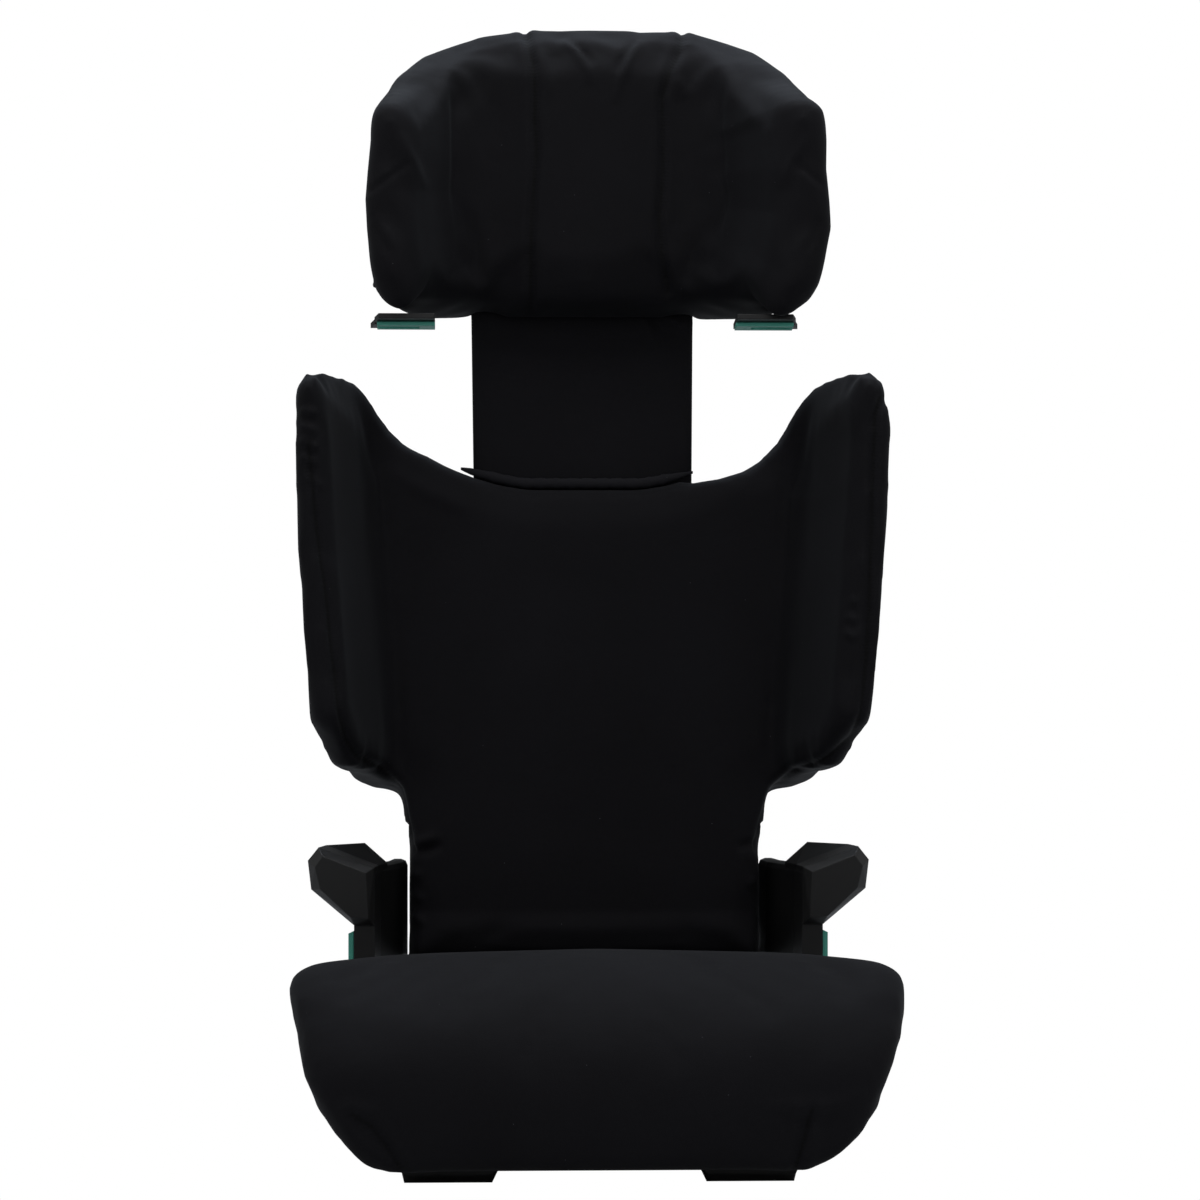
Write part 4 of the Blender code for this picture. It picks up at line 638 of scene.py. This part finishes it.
# Painted light: a pale grey is added to the knit's colour, so the roll reads as catching the light.
painted_hem_light = tree.nodes.new("ShaderNodeMix")
painted_hem_light.data_type = "RGBA"
painted_hem_light.blend_type = "ADD"
painted_hem_light.inputs[0].default_value = 1.0
painted_hem_light.inputs[7].default_value = (0.0050, 0.0050, 0.0058, 1.0)
tree.links.new(next(node for node in tree.nodes if node.type == "GROUP").outputs["Colour"], painted_hem_light.inputs[6])
tree.links.new(painted_hem_light.outputs[2], tree.nodes["Principled BSDF"].inputs["Base Color"])
mesh.materials.append(hem_material)
hem = bpy.data.objects.new("hem_roll", mesh)
scene.collection.objects.link(hem)
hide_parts("cover_hem")
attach(hem, "backrest")

# Moulded surface: the fine spark texture of a plastic mould, with flow marks too faint to see square
# on, edges rounded off in the shading, and a painted highlight, broken up by the flow marks, that pales the
# edges. Every moulded piece shares it.
mould = bpy.data.node_groups.new("mould", "ShaderNodeTree")
mould.interface.new_socket("Dark", in_out="INPUT", socket_type="NodeSocketColor")
mould.interface.new_socket("Light", in_out="INPUT", socket_type="NodeSocketColor")
mould.interface.new_socket("Colour", in_out="OUTPUT", socket_type="NodeSocketColor")
mould.interface.new_socket("Roughness", in_out="OUTPUT", socket_type="NodeSocketFloat")
mould.interface.new_socket("Normal", in_out="OUTPUT", socket_type="NodeSocketVector")
n, link = mould.nodes, mould.links
given = n.new("NodeGroupInput")
out = n.new("NodeGroupOutput")
place = n.new("ShaderNodeTexCoord")
spark = n.new("ShaderNodeTexNoise")
spark.inputs["Scale"].default_value = 1400.0
spark.inputs["Detail"].default_value = 2.0
flow = n.new("ShaderNodeTexNoise")
flow.inputs["Scale"].default_value = 14.0
flow.inputs["Detail"].default_value = 5.0
for texture in (spark, flow):
    link.new(place.outputs["Object"], texture.inputs["Vector"])
soften = n.new("ShaderNodeBevel")
soften.samples = 4
soften.inputs["Radius"].default_value = 0.0014
shape = n.new("ShaderNodeNewGeometry")
turned = n.new("ShaderNodeVectorMath")
turned.operation = "DOT_PRODUCT"
link.new(soften.outputs["Normal"], turned.inputs[0])
link.new(shape.outputs["Normal"], turned.inputs[1])
edge = n.new("ShaderNodeMapRange")
edge.inputs["From Min"].default_value = 0.995
edge.inputs["From Max"].default_value = 0.86
link.new(turned.outputs["Value"], edge.inputs["Value"])
# Painted highlight: where the bevel turns the normal, at the edges, the colour goes towards the light tone,
# broken up by the flow noise.
painted_edge_highlight = n.new("ShaderNodeMath")
painted_edge_highlight.operation = "MULTIPLY"
link.new(edge.outputs["Result"], painted_edge_highlight.inputs[0])
link.new(flow.outputs["Fac"], painted_edge_highlight.inputs[1])
tone = n.new("ShaderNodeMix")
tone.data_type = "RGBA"
link.new(painted_edge_highlight.outputs[0], tone.inputs[0])
link.new(given.outputs["Dark"], tone.inputs[6])
link.new(given.outputs["Light"], tone.inputs[7])
link.new(tone.outputs[2], out.inputs["Colour"])
rough = n.new("ShaderNodeMapRange")
rough.inputs["To Min"].default_value = 0.38
rough.inputs["To Max"].default_value = 0.66
link.new(flow.outputs["Fac"], rough.inputs["Value"])
link.new(rough.outputs["Result"], out.inputs["Roughness"])
grain = n.new("ShaderNodeBump")
grain.inputs["Strength"].default_value = 0.22
grain.inputs["Distance"].default_value = 0.0002
link.new(spark.outputs["Fac"], grain.inputs["Height"])
link.new(soften.outputs["Normal"], grain.inputs["Normal"])
link.new(grain.outputs["Normal"], out.inputs["Normal"])


def moulded(name, dark, painted_highlight, gloss):
    """A moulded plastic in the given tone, with a painted highlight that makes its edges paler."""
    made = bpy.data.materials.new(name)
    made.use_nodes = True
    tree = made.node_tree
    group = tree.nodes.new("ShaderNodeGroup")
    group.node_tree = mould
    group.inputs["Dark"].default_value = (*dark, 1.0)
    group.inputs["Light"].default_value = (*painted_highlight, 1.0)
    shader = tree.nodes["Principled BSDF"]
    shader.inputs["Specular IOR Level"].default_value = gloss
    for given_by, taken_by in (("Colour", "Base Color"), ("Roughness", "Roughness"), ("Normal", "Normal")):
        tree.links.new(group.outputs[given_by], shader.inputs[taken_by])
    return made


def dress(material, names):
    """Gives the named pieces of the frame one material."""
    for name in names:
        nodes[name].data.materials.clear()
        nodes[name].data.materials.append(material)


# Shells and runners: injection-moulded black polypropylene, ribbed beneath, screwed and clipped
# together; the rails, rack and carrier carry the headrest. The second tone is a faint painted edge
# highlight.
dress(moulded("black_polypropylene", (0.0018, 0.0018, 0.0020), (0.014, 0.014, 0.015), 0.22),
      ["base_shell", "skid_left", "skid_right", "backrest_shell", "headrest_shell", "neck_carrier",
       "slide_rail_left", "slide_rail_right", "height_rack", "rod_cap_left", "rod_cap_right",
       "release_handle", "latch_pawl", "belt_guide_plate_left", "belt_guide_plate_right"])

# Armrests: hollow satin black mouldings screwed to the base, each with a belt horn whose end is closed
# by a pressed-in cap. A strong painted grey highlight pales the facets' edges.
dress(moulded("satin_black", (0.0011, 0.0011, 0.0012), (0.024, 0.024, 0.025), 0.24),
      ["armrest_left", "armrest_right", "armrest_cap_left", "armrest_cap_right"])

# Belt guides: small teal mouldings that mark where the belt runs, clipped in the armrests and under
# the headrest's wings. The paler second tone is a painted edge highlight.
dress(moulded("teal_guide", (0.036, 0.235, 0.178), (0.090, 0.360, 0.290), 0.4),
      ["lap_belt_guide_left", "lap_belt_guide_right", "belt_guide_left", "belt_guide_right"])

# Steel pieces: the hinge rod, pawl pin, pull rod, spring and screw heads, zinc-plated, with fine
# drawing marks along them.
steel = bpy.data.materials.new("zinc_steel")
steel.use_nodes = True
tree = steel.node_tree
n, link = tree.nodes, tree.links
shader = n["Principled BSDF"]
shader.inputs["Metallic"].default_value = 1.0
place = n.new("ShaderNodeTexCoord")
marks = n.new("ShaderNodeTexNoise")
marks.inputs["Scale"].default_value = 420.0
marks.inputs["Detail"].default_value = 4.0
link.new(place.outputs["Object"], marks.inputs["Vector"])
tint = n.new("ShaderNodeValToRGB")
tint.color_ramp.elements[0].color = (0.36, 0.36, 0.37, 1.0)
tint.color_ramp.elements[1].color = (0.58, 0.58, 0.57, 1.0)
link.new(marks.outputs["Fac"], tint.inputs["Fac"])
link.new(tint.outputs["Color"], shader.inputs["Base Color"])
rough = n.new("ShaderNodeMapRange")
rough.inputs["To Min"].default_value = 0.24
rough.inputs["To Max"].default_value = 0.46
link.new(marks.outputs["Fac"], rough.inputs["Value"])
link.new(rough.outputs["Result"], shader.inputs["Roughness"])
drawn = n.new("ShaderNodeBump")
drawn.inputs["Strength"].default_value = 0.15
drawn.inputs["Distance"].default_value = 0.0001
link.new(marks.outputs["Fac"], drawn.inputs["Height"])
link.new(drawn.outputs["Normal"], shader.inputs["Normal"])
dress(steel, ["hinge_rod", "pawl_pin", "pull_rod", "handle_spring", "rack_screw_low", "rack_screw_top",
              "armrest_screw_left_front", "armrest_screw_left_rear", "armrest_screw_right_front",
              "armrest_screw_right_rear", "headrest_screw_left_low", "headrest_screw_left_top",
              "headrest_screw_right_low", "headrest_screw_right_top"])
